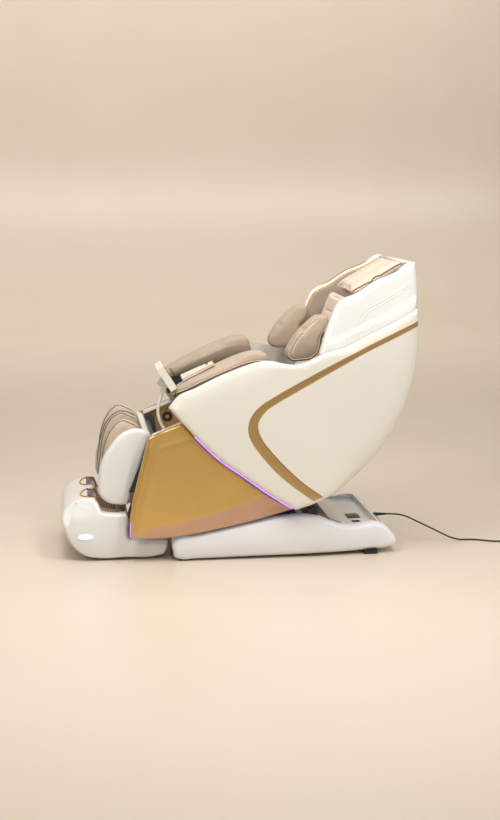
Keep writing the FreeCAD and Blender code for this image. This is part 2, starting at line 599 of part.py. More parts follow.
# ---------------------------------------------------------------- seat
def make_seat():
    pan_low = "(cushion_front_low_z - 1 - plate)"
    plates = []
    for side, low, high in (("left", SEAT_PLATE_IN, SEAT_PLATE_OUT),
                            ("right", f"-{SEAT_PLATE_OUT}", f"-{SEAT_PLATE_IN}")):
        plates.append(block(f"seat_plate_{side}", [
            at("knee", "-lug", "-lug"), at("knee", "-lug", "lug"), at("knee", "lug", "lug"),
            ("knee_y + 2 * lug", pan_low), ("recline_y - 2 * lug", pan_low), at("recline", "-lug", "lug"),
            at("recline", "lug", "lug"), at("recline", "lug", "-lug"), at("tilt", "lug", "lug"),
            at("tilt", "lug", "-lug"), at("tilt", "-lug", "-lug"),
            ("recline_y - lug", "recline_base_z"), ("knee_y + 2 * lug", f"{pan_low} - 1.5 * beam")],
            low, high, rounds=[("lug * 0.9", 0, 1, 2, 5, 6, 9, 10)]))
    bars = [box("seat_bar_front", f"-{SEAT_PLATE_IN} - 1", f"{SEAT_PLATE_IN} + 1",
                "knee_y + 3 * beam", "knee_y + 4 * beam", f"{pan_low} - beam / 2", pan_low),
            box("seat_bar_mid", f"-{SEAT_PLATE_IN} - 1", f"{SEAT_PLATE_IN} + 1",
                "recline_base_y - beam", "recline_base_y", f"{pan_low} - beam", pan_low),
            box("seat_bar_rear", f"-{SEAT_PLATE_IN} - 1", f"{SEAT_PLATE_IN} + 1",
                "cushion_rear_y - 4 * beam", "cushion_rear_y - 3 * beam", f"{pan_low} - beam", pan_low)]
    ears = pin_and_lugs("recline_mount", "recline_base", "3 * beam", "recline_base_y - beam / 2",
        f"{pan_low} - 1")
    ears += pin_and_lugs("leg_mount", "leg_base", "-3 * beam", "recline_base_y - beam / 2", f"{pan_low} - 1",
                         apart="(tube_radius + 2)")
    ears += pin_and_lugs("lift_mount", "lift_lever", "0", "lift_lever_y", f"{pan_low} - 1", "2 * ear")
    ears.append(box("lift_bar", "-4 * ear", "4 * ear", "lift_lever_y - ear", "recline_base_y - beam + 1",
                    f"{pan_low} - ear", pan_low))
    stubs = []
    for name, point, inner in (("knee", "knee", LEG_ARM_IN), ("recline", "recline", LEG_ARM_IN)):
        stubs.append(crosswise(f"{name}_stub_left", "pin_radius", inner, f"{SEAT_PLATE_IN} + 1",
                               f"{point}_y", f"{point}_z"))
        stubs.append(crosswise(f"{name}_stub_right", "pin_radius", f"-{SEAT_PLATE_IN} - 1", f"-{inner}",
                               f"{point}_y", f"{point}_z"))
    holes = [crosswise(f"tilt_hole_{side}", "pin_radius + running_gap", low, high, "tilt_y", "tilt_z")
             for side, low, high in (("left", f"{SEAT_PLATE_IN} - 1", f"{SEAT_PLATE_OUT} + 1"),
                                     ("right", f"-{SEAT_PLATE_OUT} - 1", f"-{SEAT_PLATE_IN} + 1"))]
    frame = cut("seat_frame", fuse("seat_frame_solid", plates + bars + ears + stubs), holes)
    pan = block("seat_pan", [
        ("knee_y + 3 * beam", pan_low), ("knee_y + 3 * beam", f"{pan_low} + plate"),
        ("cushion_rear_y", f"{pan_low} + plate"), ("cushion_rear_y", pan_low)],
        "-seat_width / 2", "seat_width / 2")
    cushion = soften(block("seat_cushion", [
        at("cushion_front_low"), at("cushion_front"), at("cushion_top_front"), at("cushion_top_rear"),
        at("cushion_rear"), at("cushion_rear_low")], "-seat_width / 2", "seat_width / 2",
        rounds=[("beam / 2", 1, 2)]), "lug / 2")
    panel_outline = [
        at("panel_low_front"), at("panel_groove"), at("panel_top_front"), at("panel_top_rear"),
        at("wing_front_mid", "-side_gap", "-side_gap"), at("wing_front_low", "-side_gap", "-side_gap"),
        at("wing_toe", "-side_gap", "-side_gap"), at("panel_low_rear"), at("panel_low_mid")]
    panels = []
    for side, low, high, sign in (("left", PANEL_IN, PANEL_OUT, -1),
                                  ("right", f"-{PANEL_OUT}", f"-{PANEL_IN}", 1)):
        body = block(f"side_panel_{side}", panel_outline, low, high, rounds=[("beam / 4", 0, 2)])
        panels.append(soften(hollow(body, "panel_wall", sign), "panel_depth / 8", -sign))
    rims = mirrored_blocks("panel_deck", [
        at("panel_top_front", "beam / 2", "-ear"), at("panel_top_front", "beam / 2",
            "plate / 4 + side_gap / 4"),
        at("panel_top_rear", "0", "plate / 4"), at("panel_top_rear", "0", "-ear")],
        f"({SEAT_PLATE_OUT} + side_gap)", f"({PANEL_IN} - side_gap / 4)")
    rims = group("panel_decks", rims)
    edge = ("wing_front_mid", "wing_front_low", "wing_toe")
    near = "-side_gap * 0.9"
    far = "-side_gap * 0.3"
    strips = mirrored_blocks("light_strip", [at(point, near, near) for point in edge]
                             + [at(point, far, far) for point in reversed(edge)],
                             f"({PANEL_OUT} - side_gap)", f"({PANEL_OUT} - side_gap / 4)")
    return [frame, pan, cushion] + panels + [rims, group("light_strips", strips)]


# ---------------------------------------------------------------- tablet on its gooseneck
def make_tablet():
    x = size("gooseneck_x")
    k = size("chair_length") / size("drawn_length")
    root = size("panel_top_front_y") + size("gooseneck_back") * k
    neck_points = [(x, root, size("panel_top_front_z") + 24 * k), (x, root - 14 * k, 592 * k),
                   (x, root - 28 * k, 625 * k), (x, root - 31 * k, 662 * k), (x, root - 22 * k, 698 * k),
                   (x, size("neck_pivot_y") - 2 * k, size("neck_pivot_z") - 14 * k)]
    neck = tube("gooseneck", neck_points, size("gooseneck_radius"))
    socket = doc.addObject("Part::Cone", "gooseneck_socket")
    socket.Label = "gooseneck_socket"
    bind(socket, Radius1="gooseneck_radius * 3", Radius2="gooseneck_radius * 1.6", Height="ear",
         Placement__Base__x="gooseneck_x", Placement__Base__y="panel_top_front_y + gooseneck_back",
         Placement__Base__z="panel_top_front_z + gooseneck_back * (panel_top_rear_z - panel_top_front_z) / "
                            "(panel_top_rear_y - panel_top_front_y) - ear / 2")
    run_y = "(tablet_low_y - tablet_top_y)"
    run_z = "(tablet_low_z - tablet_top_z)"
    run = f"sqrt({run_y} * {run_y} + {run_z} * {run_z})"

    def slab(name, thick_low, thick_high, x_low, x_high, short="0"):
        """A slab whose long side runs down the tablet; thickness is measured from its glass."""
        nudge_y = f"{run_z} / {run}"
        nudge_z = f"-{run_y} / {run}"
        along_y = f"{short} * {run_y} / {run}"
        along_z = f"{short} * {run_z} / {run}"
        return block(name, [
            at("tablet_top", f"{nudge_y} * ({thick_low}) + {along_y}",
                f"{nudge_z} * ({thick_low}) + {along_z}"),
            at("tablet_low", f"{nudge_y} * ({thick_low}) - {along_y}",
                f"{nudge_z} * ({thick_low}) - {along_z}"),
            at("tablet_low", f"{nudge_y} * ({thick_high}) - {along_y}",
                f"{nudge_z} * ({thick_high}) - {along_z}"),
            at("tablet_top", f"{nudge_y} * ({thick_high}) + {along_y}",
                f"{nudge_z} * ({thick_high}) + {along_z}")],
            x_low, x_high, rounds=[("side_gap / 2", 0, 1, 2, 3)])

    # the cable's points, each as steps inward, forward and down from the holder's lower edge
    hanging = ((0, 8, 20), (0, 9, 46), (2, 24, 74))
    cable = tube("tablet_cable", [
        (size("cable_x") - inward, size("tablet_low_y") - forward * k, size("tablet_low_z") - down * k)
        for inward, forward, down in hanging] + [
        (size("cable_x") - 7, size("winding_y") - 2 * k, size("winding_z") + 34 * k),
        (size("cable_x") - 12, size("winding_y") - 5 * k, size("winding_z") + size("winding_radius"))],
        size("cable_radius"))
    winding_x = "(cable_x - 1.5 * winding_depth)"
    winding = cut("cable_winding", crosswise(
        "winding_solid", "winding_radius", winding_x, f"{winding_x} + winding_depth", "winding_y",
            "winding_z"), [
        crosswise("winding_eye", "winding_hole", f"{winding_x} - 1", f"{winding_x} + winding_depth + 1",
                  "winding_y", "winding_z")])
    centre = "(gooseneck_x - ear * 4)"
    glass = slab("tablet", "0", "tablet_thick", f"{centre} - tablet_width / 2",
        f"{centre} + tablet_width / 2", "tablet_margin")
    shell = slab("holder_shell", "side_gap / 2", "tablet_thick + holder_thick",
                 f"{centre} - tablet_width / 2 - side_gap", f"{centre} + tablet_width / 2 + side_gap")
    room = slab("holder_room", "-1", "tablet_thick", f"{centre} - tablet_width / 2",
                f"{centre} + tablet_width / 2", "tablet_margin")
    knuckle = crosswise("holder_knuckle", "ear_radius * 0.75", "gooseneck_x - ear", "gooseneck_x + ear",
                        "neck_pivot_y", "neck_pivot_z")
    stem = block("holder_stem", [
        at("neck_pivot", "-ear", "0"), at("neck_pivot", "0", "4.5 * ear"), at("neck_pivot", "4 * ear",
            "3 * ear"),
        at("neck_pivot", "ear", "0")], "gooseneck_x - ear", "gooseneck_x + ear")
    holder = fuse("tablet_holder", [cut("holder_frame", shell, [room]), knuckle, stem])
    return [neck, socket, cable, winding], [glass, holder]


# ---------------------------------------------------------------- back, with wings, armrests and hood
def make_back():
    wing_outline = [at(point) for point in (
        "wing_tip", "wing_arm_front", "wing_arm_mid", "wing_arm_top", "wing_dip", "wing_neck", "wing_cheek",
        "wing_top_rear", "wing_rear_high", "wing_rear_mid", "wing_rear_low", "wing_heel", "wing_toe",
        "wing_front_low", "wing_front_mid")]
    wings = []
    for side, low, high, sign in (("left", WING_IN, WING_OUT, -1), ("right", f"-{WING_OUT}",
        f"-{WING_IN}", 1)):
        body = block(f"wing_shell_{side}", wing_outline, low, high,
                     rounds=[("beam / 2", 0, 11, 12), ("beam * 3", 1, 3, 4), ("beam * 6", 8, 9)])
        wings.append(hollow(soften(body, "wing_round", -sign), "wing_wall", sign))
    members = []
    low_end = "-2 * beam"
    for side, low, high in (("left", LEG_ARM_IN, f"{LEG_ARM_IN} + plate / 2"),
                            ("right", f"-{LEG_ARM_IN} - plate / 2", f"-{LEG_ARM_IN}")):
        members.append(leaning_box(f"back_member_{side}", low, high, "back_front", "back_front + back_depth",
                                   low_end, "back_length"))
    bars = [leaning_box(f"back_bar_{place}", f"-{LEG_ARM_IN} - 1", f"{LEG_ARM_IN} + 1",
                        "back_front + back_depth - beam", "back_front + back_depth", up, f"{up} + beam")
            for place, up in (("low", "end_low - beam / 2"), ("mid", "(end_low + end_high) / 2"),
                              ("high", "end_high - beam / 4"))]
    ends = [leaning_box(f"rail_end_{place}", "-rail_spread - beam", "rail_spread + beam", "rail_back - beam",
                        "back_front + back_depth - beam + 1", up, f"{up} + end_plate")
            for place, up in (("low", "end_low"), ("high", "end_high"))]
    rails = [along_back(f"massage_rail_{side}", "rail_radius", x, "rail_back", "end_low + 1", "end_high + 1")
             for side, x in (("left", "rail_spread"), ("right", "-rail_spread"))]
    lever = pin_and_lugs("recline_yoke", "recline_lever", "3 * beam", "recline_y + 2.6 * beam",
        "recline_z - beam / 2")
    lever.append(leaning_box("lever_bar", f"-{LEG_ARM_IN} - 1", f"{LEG_ARM_IN} + 1", "4.2 * beam",
        "5.2 * beam",
                             "-1.8 * beam", "-0.8 * beam"))
    holes = [crosswise(f"recline_hole_{side}", "pin_radius + running_gap", low, high, "recline_y",
        "recline_z")
             for side, low, high in (("left", f"{LEG_ARM_IN} - 1", f"{LEG_ARM_OUT} + 1"),
                                     ("right", f"-{LEG_ARM_OUT} - 1", f"-{LEG_ARM_IN} + 1"))]
    holes.append(along_back("screw_holes", "screw_radius + running_gap", "0", "rail_back",
                            "end_low - 1", "end_high + end_plate + 1"))
    frame = cut("back_frame", fuse("back_frame_solid", members + bars + ends + rails + lever), holes)
    screw = along_back("travel_screw", "screw_radius", "0", "rail_back", "end_low + 0.5",
        "end_high + end_plate - 0.5")

    shift = "-back_wall"
    rear = (("wing_rear_low", "0"), ("wing_rear_mid", "0"), ("wing_rear_high", "0"), ("wing_top_rear",
        "-ear"))
    cover = block("back_cover", [at(point, "0", drop) for point, drop in rear]
                  + [at(point, shift, f"back_wall / 2 + {drop}") for point, drop in reversed(rear)],
                  f"-{PANEL_OUT}", PANEL_OUT, rounds=[("beam * 3", 1, 2), ("beam * 3", 5, 6)])
    hood = block("hood_shell", [at(point) for point in (
        "hood_front_low", "hood_front", "hood_front_high", "hood_top_front", "hood_top", "hood_rear_top",
        "hood_rear", "hood_rear_low", "hood_low_mid")], f"-{HOOD_HALF}", HOOD_HALF,
        rounds=[("beam * 2", 2, 3)])
    soften(hood, "beam * 0.6")
    pocket(hood, "hood_room", [
        at("hood_front_low", "-beam", "-2 * beam"), at("hood_front_high", "-beam * 2", "beam * 2"),
        at("hood_top", "-beam * 3", "beam * 2"), at("hood_top", "-hood_wall / 6", "beam * 2"),
        at("hood_rear_top", "-hood_wall / 2"), at("hood_rear", "-hood_wall / 2"),
        at("hood_rear_low", "-hood_wall / 2", "-beam")], f"-{CHEEK_IN}", CHEEK_IN)

    back_pad = soften(block("back_cushion", [at(point) for point in (
        "back_low", "back_mid", "back_high", "back_top", "back_top_rear", "back_high_rear",
        "back_mid_rear", "back_low_rear")], "-back_pad_width / 2", "back_pad_width / 2",
        rounds=[("beam / 2", 0, 3)]), "lug / 2")
    shoulders = mirrored_blocks("shoulder_pad", [at(point) for point in (
        "shoulder_front", "shoulder_low_front", "shoulder_low", "shoulder_low_rear", "shoulder_rear",
        "shoulder_top_rear", "shoulder_top")], "(back_pad_width / 2 + side_gap)",
        f"({CHEEK_IN} - side_gap / 2)", rounds=[("beam / 2", 0, 1, 2)], rim="lug / 2")
    rests = mirrored_blocks("armrest_pad", [at(point) for point in (
        "rest_seam_front", "rest_tip", "rest_front", "rest_mid", "rest_top", "rest_rear", "rest_rear_low")],
        f"({TRAY_IN} + side_gap)", f"({WING_IN} - 3 * side_gap)", rim="side_gap * 2")
    trays = mirrored_blocks("armrest_tray", [
        at("tray_front_low"), at("rest_seam_front", "0", "-soft_gap * 2"),
        at("rest_rear_low", "0", "-soft_gap * 2"), at("tray_rear"), at("tray_rear_low")],
        TRAY_IN, f"({WING_IN} - side_gap / 2)", rounds=[("beam / 3", 0)])
    quick_run_y = "(quick_high_y - quick_low_y)"
    quick_run_z = "(quick_high_z - quick_low_z)"
    quick_run = f"sqrt({quick_run_y} ^ 2 + {quick_run_z} ^ 2)"
    up_y = f"(-{quick_run_z} / {quick_run})"
    up_z = f"({quick_run_y} / {quick_run})"
    panel = block("quick_panel", [
        at("quick_low", f"{up_y} * soft_gap", f"{up_z} * soft_gap"),
        at("quick_low", f"{up_y} * quick_thick", f"{up_z} * quick_thick"),
        at("quick_high", f"{up_y} * quick_thin", f"{up_z} * quick_thin"),
        at("quick_high", f"{up_y} * soft_gap", f"{up_z} * soft_gap")],
        f"({TRAY_IN} + beam)", f"({TRAY_IN} + 3 * beam)", rounds=[("side_gap", 1, 2)])
    return wings + [frame, cover, hood, back_pad, group("shoulder_pads", shoulders),
                    group("armrest_pads", rests), group("armrest_trays", trays), panel], screw


def make_button():
    """A round key in the quick panel, pressed square to the panel's face."""
    k = size("chair_length") / size("drawn_length")
    low = Vector(0, size("quick_low_y"), size("quick_low_z"))
    high = Vector(0, size("quick_high_y"), size("quick_high_z"))
    run = high - low
    up = Vector(0, -run.z, run.y).normalize()
    face_low = low + up * size("quick_thick")
    face_high = high + up * size("quick_thin")
    way = Vector(0, -(face_high - face_low).z, (face_high - face_low).y).normalize()
    across = size("seat_width") / 2 + 2 * size("side_gap") + 2 * size("beam")
    seat = face_low + (face_high - face_low) * size("button_place") + Vector(across, 0, 0)
    depth = size("button_high") + 3
    key = doc.addObject("Part::Feature", "quick_button")
    key.Label = "quick_button"
    key.Shape = Part.makeCylinder(size("button_radius"), size("button_high"), seat - way * 2, way)
    well = doc.addObject("Part::Feature", "button_well")
    well.Shape = Part.makeCylinder(size("button_radius") + size("running_gap") * 2, depth + k,
        seat - way * 4, way)
    print("button axis", tuple(round(c, 4) for c in way), "at", tuple(round(c, 1) for c in seat))
    return key, well


# ---------------------------------------------------------------- massage mechanism
def make_massage():
    pivot_up = "(cradle_low + cradle_length / 2)"
    base = leaning_box("cradle_block", "-rail_spread - beam * 0.8", "rail_spread + beam * 0.8",
                       "rail_back - cradle_depth / 2", "rail_back + cradle_depth / 2 - 2 * side_gap",
                       "cradle_low", "cradle_low + cradle_length")
    lugs = []
    for side, low in (("left", "arm_in + arm_plate + side_gap"),
                      ("right", "-arm_in - arm_plate - side_gap - ear")):
        lugs.append(leaning_box(f"cradle_lug_{side}", low, f"{low} + ear", "arm_pivot_back - ear",
                                "rail_back - cradle_depth / 2 + 1", f"{pivot_up} - ear",
                                    f"{pivot_up} + ear"))
    axle = leaning_crosswise("cradle_axle", "axle_radius + 1", "-arm_in - arm_plate - 2 * side_gap",
                             "arm_in + arm_plate + 2 * side_gap", "arm_pivot_back", pivot_up)
    motor = leaning_box("massage_motor_block", "-beam", "beam", "arm_pivot_back + ear",
                        "rail_back - cradle_depth / 2 + 1", f"{pivot_up} - 1.6 * beam",
                            f"{pivot_up} + 1.6 * beam")
    bores = [along_back(f"cradle_bore_{side}", "rail_radius + 2 * running_gap", x, "rail_back",
                        "cradle_low - 1", "cradle_low + cradle_length + 1")
             for side, x in (("left", "rail_spread"), ("right", "-rail_spread"))]
    bores.append(along_back("cradle_nut", "screw_radius + 2 * running_gap", "0", "rail_back",
                            "cradle_low - 1", "cradle_low + cradle_length + 1"))
    cradle = cut("massage_carriage", fuse("cradle_solid", [base, axle, motor] + lugs), bores)

    arms = []
    holes = []
    for side, low, high in (("left", "arm_in", "arm_in + arm_plate"), ("right", "-arm_in - arm_plate",
        "-arm_in")):
        arms.append(leaning_box(f"arm_{side}", low, high, "roller_back - ear * 0.75", "arm_pivot_back + ear",
                                f"{pivot_up} - roller_reach - ear", f"{pivot_up} + roller_reach + ear"))
        holes.append(leaning_crosswise(f"arm_hole_{side}", "axle_radius + 1 + running_gap", f"{low} - 1",
            f"{high} + 1",
                                       "arm_pivot_back", pivot_up))
        pin_low, pin_high = (("arm_in + arm_plate - 1", "arm_in + arm_plate + 2 * side_gap + roller_width")
                             if side == "left" else
                             ("-arm_in - arm_plate - 2 * side_gap - roller_width",
                                 "-arm_in - arm_plate + 1"))
        for end, up in (("upper", f"{pivot_up} + roller_reach"), ("lower", f"{pivot_up} - roller_reach")):
            arms.append(leaning_crosswise(f"pin_{end}_{side}", "axle_radius", pin_low, pin_high,
                "roller_back", up))
    bridge = leaning_box("arm_bridge", "-arm_in - 1", "arm_in + 1", "roller_back - ear * 0.75",
                         "roller_back + ear / 4", f"{pivot_up} - ear", f"{pivot_up} + ear")
    arm_frame = cut("massage_arms", fuse("arms_solid", arms + [bridge]), holes)
    rollers = []
    for end, up in (("upper", f"{pivot_up} + roller_reach"), ("lower", f"{pivot_up} - roller_reach")):
        pair = []
        for side, low in (("left", "arm_in + arm_plate + side_gap"),
                          ("right", "-arm_in - arm_plate - side_gap - roller_width")):
            pair.append(cut(f"roller_{end}_{side}", leaning_crosswise(
                f"wheel_{end}_{side}", "roller_radius", low, f"{low} + roller_width", "roller_back", up), [
                leaning_crosswise(f"wheel_hole_{end}_{side}", "axle_radius + running_gap", f"{low} - 1",
                                  f"{low} + roller_width + 1", "roller_back", up)]))
        rollers.append(group(f"rollers_{end}", pair))
    return cradle, arm_frame, rollers


def make_pillow():
    return soften(block("pillow", [at(point) for point in (
        "pillow_low", "pillow_front", "pillow_high", "pillow_top", "pillow_top_rear", "pillow_rear",
        "pillow_low_rear")], "-pillow_width / 2", "pillow_width / 2", rounds=[("lug / 3", 0, 3)]),
            "side_gap * 2")


# ---------------------------------------------------------------- leg rest
def make_leg():
    arms = []
    for side, low, high in (("left", LEG_ARM_IN, LEG_ARM_OUT), ("right", f"-{LEG_ARM_OUT}",
        f"-{LEG_ARM_IN}")):
        arms.append(block(f"leg_arm_{side}", [
            at("knee", "-lug", "lug"), at("knee", "lug", "lug"), at("knee", "lug", "-lug"),
            at("calf_rear_low", "beam", "beam * 2"), at("calf_rear_low", "0", "beam * 2")],
            low, high, rounds=[("lug * 0.9", 0, 1)]))
    bars = [box(f"leg_bar_{place}", f"-{LEG_ARM_IN} - 1", f"{LEG_ARM_IN} + 1", y, f"{y} + beam * 0.7",
                z, f"{z} + beam * 0.7")
            for place, y, z in (("high", "calf_rear_mid_y + beam * 0.7", "calf_rear_mid_z + beam * 0.4"),
                                ("low", "calf_rear_low_y + beam * 1.3", "calf_rear_low_z + beam * 2.2"))]
    yoke = pin_and_lugs("leg_yoke", "leg_lever", "-3 * beam", "calf_rear_mid_y + beam",
                        "calf_rear_mid_z + beam / 2", "beam / 2")
    rods = [between(f"foot_rod_{side}", "slide_radius", x, "slide_top", "slide_end", "0", "slide_length")
            for side, x in (("left", "slide_x"), ("right", "-slide_x"))]
    holes = [crosswise(f"knee_hole_{side}", "pin_radius + running_gap", low, high, "knee_y", "knee_z")
             for side, low, high in (("left", f"{LEG_ARM_IN} - 1", f"{LEG_ARM_OUT} + 1"),
                                     ("right", f"-{LEG_ARM_OUT} - 1", f"-{LEG_ARM_IN} + 1"))]
    frame = cut("leg_frame", fuse("leg_frame_solid", arms + bars + yoke + rods), holes)
    half = "calf_width / 2"
    shell = block("calf_shell", [at(point) for point in (
        "calf_rear_top", "calf_rear_mid", "calf_rear_low", "calf_low", "calf_front_low", "calf_front",
        "calf_arch_front", "calf_arch", "calf_arch_rear")], f"-{half}", half,
        rounds=[("beam / 2", 0, 3, 4), ("beam * 2", 5), ("beam", 6, 7, 8)])
    soften(shell, "lug / 2")
    pocket(shell, "calf_channel", [
        at("calf_rear_top", "-calf_wall", "beam * 4"), at("calf_rear_mid", "-calf_wall"),
        at("calf_rear_low", "-calf_wall", "-beam * 2"), at("calf_front_low", "-beam * 2", "-beam * 3"),
        at("calf_arch_front", "-beam * 2", "beam * 6")], f"-{half} + calf_wall", f"{half} - calf_wall")
    inner = "(calf_width / 2 - calf_wall - soft_gap)"
    outline = [at(point) for point in ("pad_rear_low", "pad_front_low", "pad_front", "pad_arch_front",
        "pad_arch",
                                       "pad_arch_rear", "pad_rear_top")]
    rounds = [("beam", 2, 3, 4), ("beam / 2", 5)]
    pads = mirrored_blocks("calf_pad", outline, f"({inner} - calf_pad)", inner, rounds, "lug / 2")
    pads.append(soften(block("calf_divider", outline, "-divider_width / 2", "divider_width / 2", rounds),
        "lug / 2"))
    return [frame, shell, group("calf_pads", pads)]


def make_foot():
    half = "foot_width / 2"
    shell = block("foot_shell", [at(point) for point in (
        "foot_rear", "foot_rear_low", "foot_sole_rear", "foot_sole_front", "foot_toe_low", "foot_toe",
        "foot_toe_top", "foot_front_top", "foot_top", "foot_mid", "foot_calf", "foot_step")],
        f"-{half}", half, rounds=[("beam", 3, 4, 5), ("beam / 2", 6, 7, 8)])
    soften(shell, "lug")
    well = [at("foot_step", "-beam", "beam * 8"), at("foot_step", "-beam", "-beam / 2"),
            at("foot_toe_low", "beam / 2", "lug / 2"), at("foot_toe", "beam * 1.6", "beam"),
            ("foot_toe_y + beam * 1.6", "foot_toe_top_z + beam * 5")]
    for side, low, high in (("left", "well_in", "well_out"), ("right", "-well_out", "-well_in")):
        pocket(shell, f"foot_well_{side}", well, low, high)
    pocket(shell, "roller_tunnel", [
        at("foot_axle", "-foot_roller - side_gap", "-foot_roller - side_gap / 2"),
        at("foot_axle", "-foot_roller - side_gap", "foot_roller"),
        at("foot_axle", "foot_roller + side_gap", "foot_roller"),
        at("foot_axle", "foot_roller + side_gap", "-foot_roller - side_gap / 2")], "-well_out", "well_out")
    lined = []
    lining_low = "foot_axle_z + foot_roller + side_gap"
    for side, low, high in (("left", "(well_in + soft_gap)", "(well_out - soft_gap)"),
                            ("right", "-(well_out - soft_gap)", "-(well_in + soft_gap)")):
        body = block(f"foot_lining_{side}", [
            ("foot_step_y - beam - soft_gap", "foot_calf_z - side_gap"),
                ("foot_step_y - beam - soft_gap", lining_low),
            ("foot_toe_low_y + beam * 0.8", lining_low), at("foot_toe", "beam * 1.6 + soft_gap * 2", "beam"),
            ("foot_toe_y + beam * 1.6 + soft_gap * 2", "foot_front_top_z - beam / 4")], low, high)
        pocket(body, f"lining_room_{side}", [
            ("foot_step_y - beam - soft_gap - lining", "foot_top_z + beam"),
            ("foot_step_y - beam - soft_gap - lining", f"{lining_low} + lining"),
            ("foot_toe_low_y + beam * 0.8 + lining", f"{lining_low} + lining"),
            at("foot_toe", "beam * 1.6 + soft_gap * 2 + lining", "beam"),
            ("foot_toe_y + beam * 1.6 + soft_gap * 2 + lining", "foot_top_z + beam")],
            f"{low} + lining", f"{high} - lining")
        lined.append(body)
    axle_y, axle_z = "foot_axle_y", "foot_axle_z"
    shaft_tip = "(well_out + ear)"
    rollers = [crosswise("foot_axle_rod", "foot_shaft", f"-{shaft_tip}", shaft_tip, axle_y, axle_z)]
    for number in range(4):
        low = f"(well_in + beam + {number % 2} * 3 * beam)"
        low, high = (low, f"{low} + 2 * beam") if number < 2 else (f"-{low} - 2 * beam", f"-{low}")
        rollers.append(crosswise(f"sole_roller_{number}", "foot_roller", low, high, axle_y, axle_z))
    sockets = [crosswise(f"axle_socket_{side}", "foot_shaft + running_gap", low, high, axle_y, axle_z)
               for side, low, high in (("left", "well_out - 1", "well_out + ear + 1"),
                                       ("right", "-well_out - ear - 1", "-well_out + 1"))]
    sockets += [between(f"foot_rod_bore_{side}", "slide_radius + running_gap", x, "slide_top", "slide_end",
                        "0", "slide_length + side_gap")
                for side, x in (("left", "slide_x"), ("right", "-slide_x"))]
    lamp_seats = []
    lamps = []
    for side, low, high in (("left", f"({half} - lamp_thick)", f"({half})"),
                            ("right", f"-({half})", f"-({half} - lamp_thick)")):
        oval = [at("lamp", "-lamp_long / 2", "-lamp_tall / 2"), at("lamp", "-lamp_long / 2",
            "lamp_tall / 2"),
                at("lamp", "lamp_long / 2", "lamp_tall / 2"), at("lamp", "lamp_long / 2", "-lamp_tall / 2")]
        lamps.append(block(f"foot_lamp_{side}", oval, low, high, rounds=[("lamp_tall * 0.49", 0, 1, 2, 3)]))
        lamp_seats.append(block(f"lamp_seat_{side}", oval, low, high, rounds=[("lamp_tall * 0.49", 0, 1,
            2, 3)]))
    shell = cut("foot_box", shell, sockets + lamp_seats)
    return [shell, group("foot_linings", lined), group("foot_lamps", lamps)], fuse("foot_rollers", rollers)


# ---------------------------------------------------------------- power cord and tablet cable
def make_cords():
    radius = size("cord_radius")
    lying = radius + 0.3
    relief_start = Vector(100, 632, 127)
    relief = doc.addObject("Part::Feature", "strain_relief")
    relief.Label = "strain_relief"
    relief.Shape = Part.makeCone(2.4 * radius, 1.25 * radius, 58, relief_start, Vector(0, 1, 0))
    route = [(100, 690, 127), (101, 735, 126), (103, 778, 116), (108, 824, 93), (116, 878, 67), (125,
        930, 41),
             (131, 975, 18), (132, 1016, 6), (128, 1052, lying), (131, 1090, lying), (152, 1126, lying),
             (174, 1162, lying), (181, 1204, lying), (176, 1246, lying), (164, 1286, lying)]
    cord = tube("power_cord", route, radius)
    middle = Vector(164 - 38.5, 1330, 0)
    ring = Part.makeCylinder(size("coil_outer"), size("coil_high"), middle + Vector(0, 0, 0.3))
    coil = doc.addObject("Part::Feature", "cord_coil")
    coil.Label = "cord_coil"
    coil.Shape = ring.cut(Part.makeCylinder(size("coil_inner"), size("coil_high") + 2, middle))
    plug = doc.addObject("Part::Feature", "cord_plug")
    plug.Label = "cord_plug"
    shell = Part.makeBox(26, 38, 20, middle + Vector(size("coil_outer") + 2, 4, 0.3))
    shell = shell.makeFillet(5, shell.Edges)
    pins = [Part.makeCylinder(2.2, 18, middle + Vector(size("coil_outer") + 15 + side, 41, 10.3),
        Vector(0, 1, 0))
            for side in (-7, 7)]
    plug.Shape = shell.multiFuse(pins)
    return [relief, cord, coil, plug]


base, rocker = make_base()
carriage = make_carriage()
seat = make_seat()
seat_extra, tablet = make_tablet()
back, screw = make_back()
button, button_well = make_button()
panel = [piece for piece in back if piece.Label == "quick_panel"][0]
panel.Label = "quick_panel_solid"
back[back.index(panel)] = cut("quick_panel", panel, [button_well])
back[-1].Label = "quick_panel"
cradle, arms, rollers = make_massage()
pillow = make_pillow()
leg = make_leg()
foot, foot_rollers = make_foot()
actuators = [piece for name, start, end, x, length, left, slack in (
    ("recline_actuator", "recline_base", "recline_lever", "3 * beam", "5.4 * beam", "3 * beam", "slack"),
    ("leg_actuator", "leg_base", "leg_lever", "-3 * beam", "7.5 * beam", "beam", "slack * 1.3"),
    ("lift_actuator", "lift_base", "lift_lever", "0", "5 * beam", "beam / 2", "side_gap"))
    for piece in make_actuator(name, start, end, x, length, left, slack)]
cords = make_cords()

nodes = (base + rocker + carriage + seat + seat_extra + tablet + back + [screw, button, cradle, arms]
         + rollers + [pillow] + leg + foot + [foot_rollers] + actuators + cords)
doc.recompute()
for thing in doc.Objects:
    failed = "Invalid" in thing.State or "Error" in thing.State
    assert not failed, f"{thing.Label} failed: {thing.State}"
os.makedirs("parts", exist_ok=True)
for node in nodes:
    assert not node.Shape.isNull() and node.Shape.isValid(), f"{node.Label} has no valid shape"
    node.Shape.exportStep(f"parts/{node.Label}.step")
print(len(nodes), "sub-parts")
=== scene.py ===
# %% [markdown]
# # A massage chair around its CAD frame
# The imported CAD model gives every body of the chair a place and a motion. This lesson dresses
# that frame: glossy shells, padded leather, lights and cables. Nothing here moves a CAD body.

import json
import math
import bmesh
import bpy
from mathutils import Matrix, Vector, geometry, kdtree
from mathutils.bvhtree import BVHTree

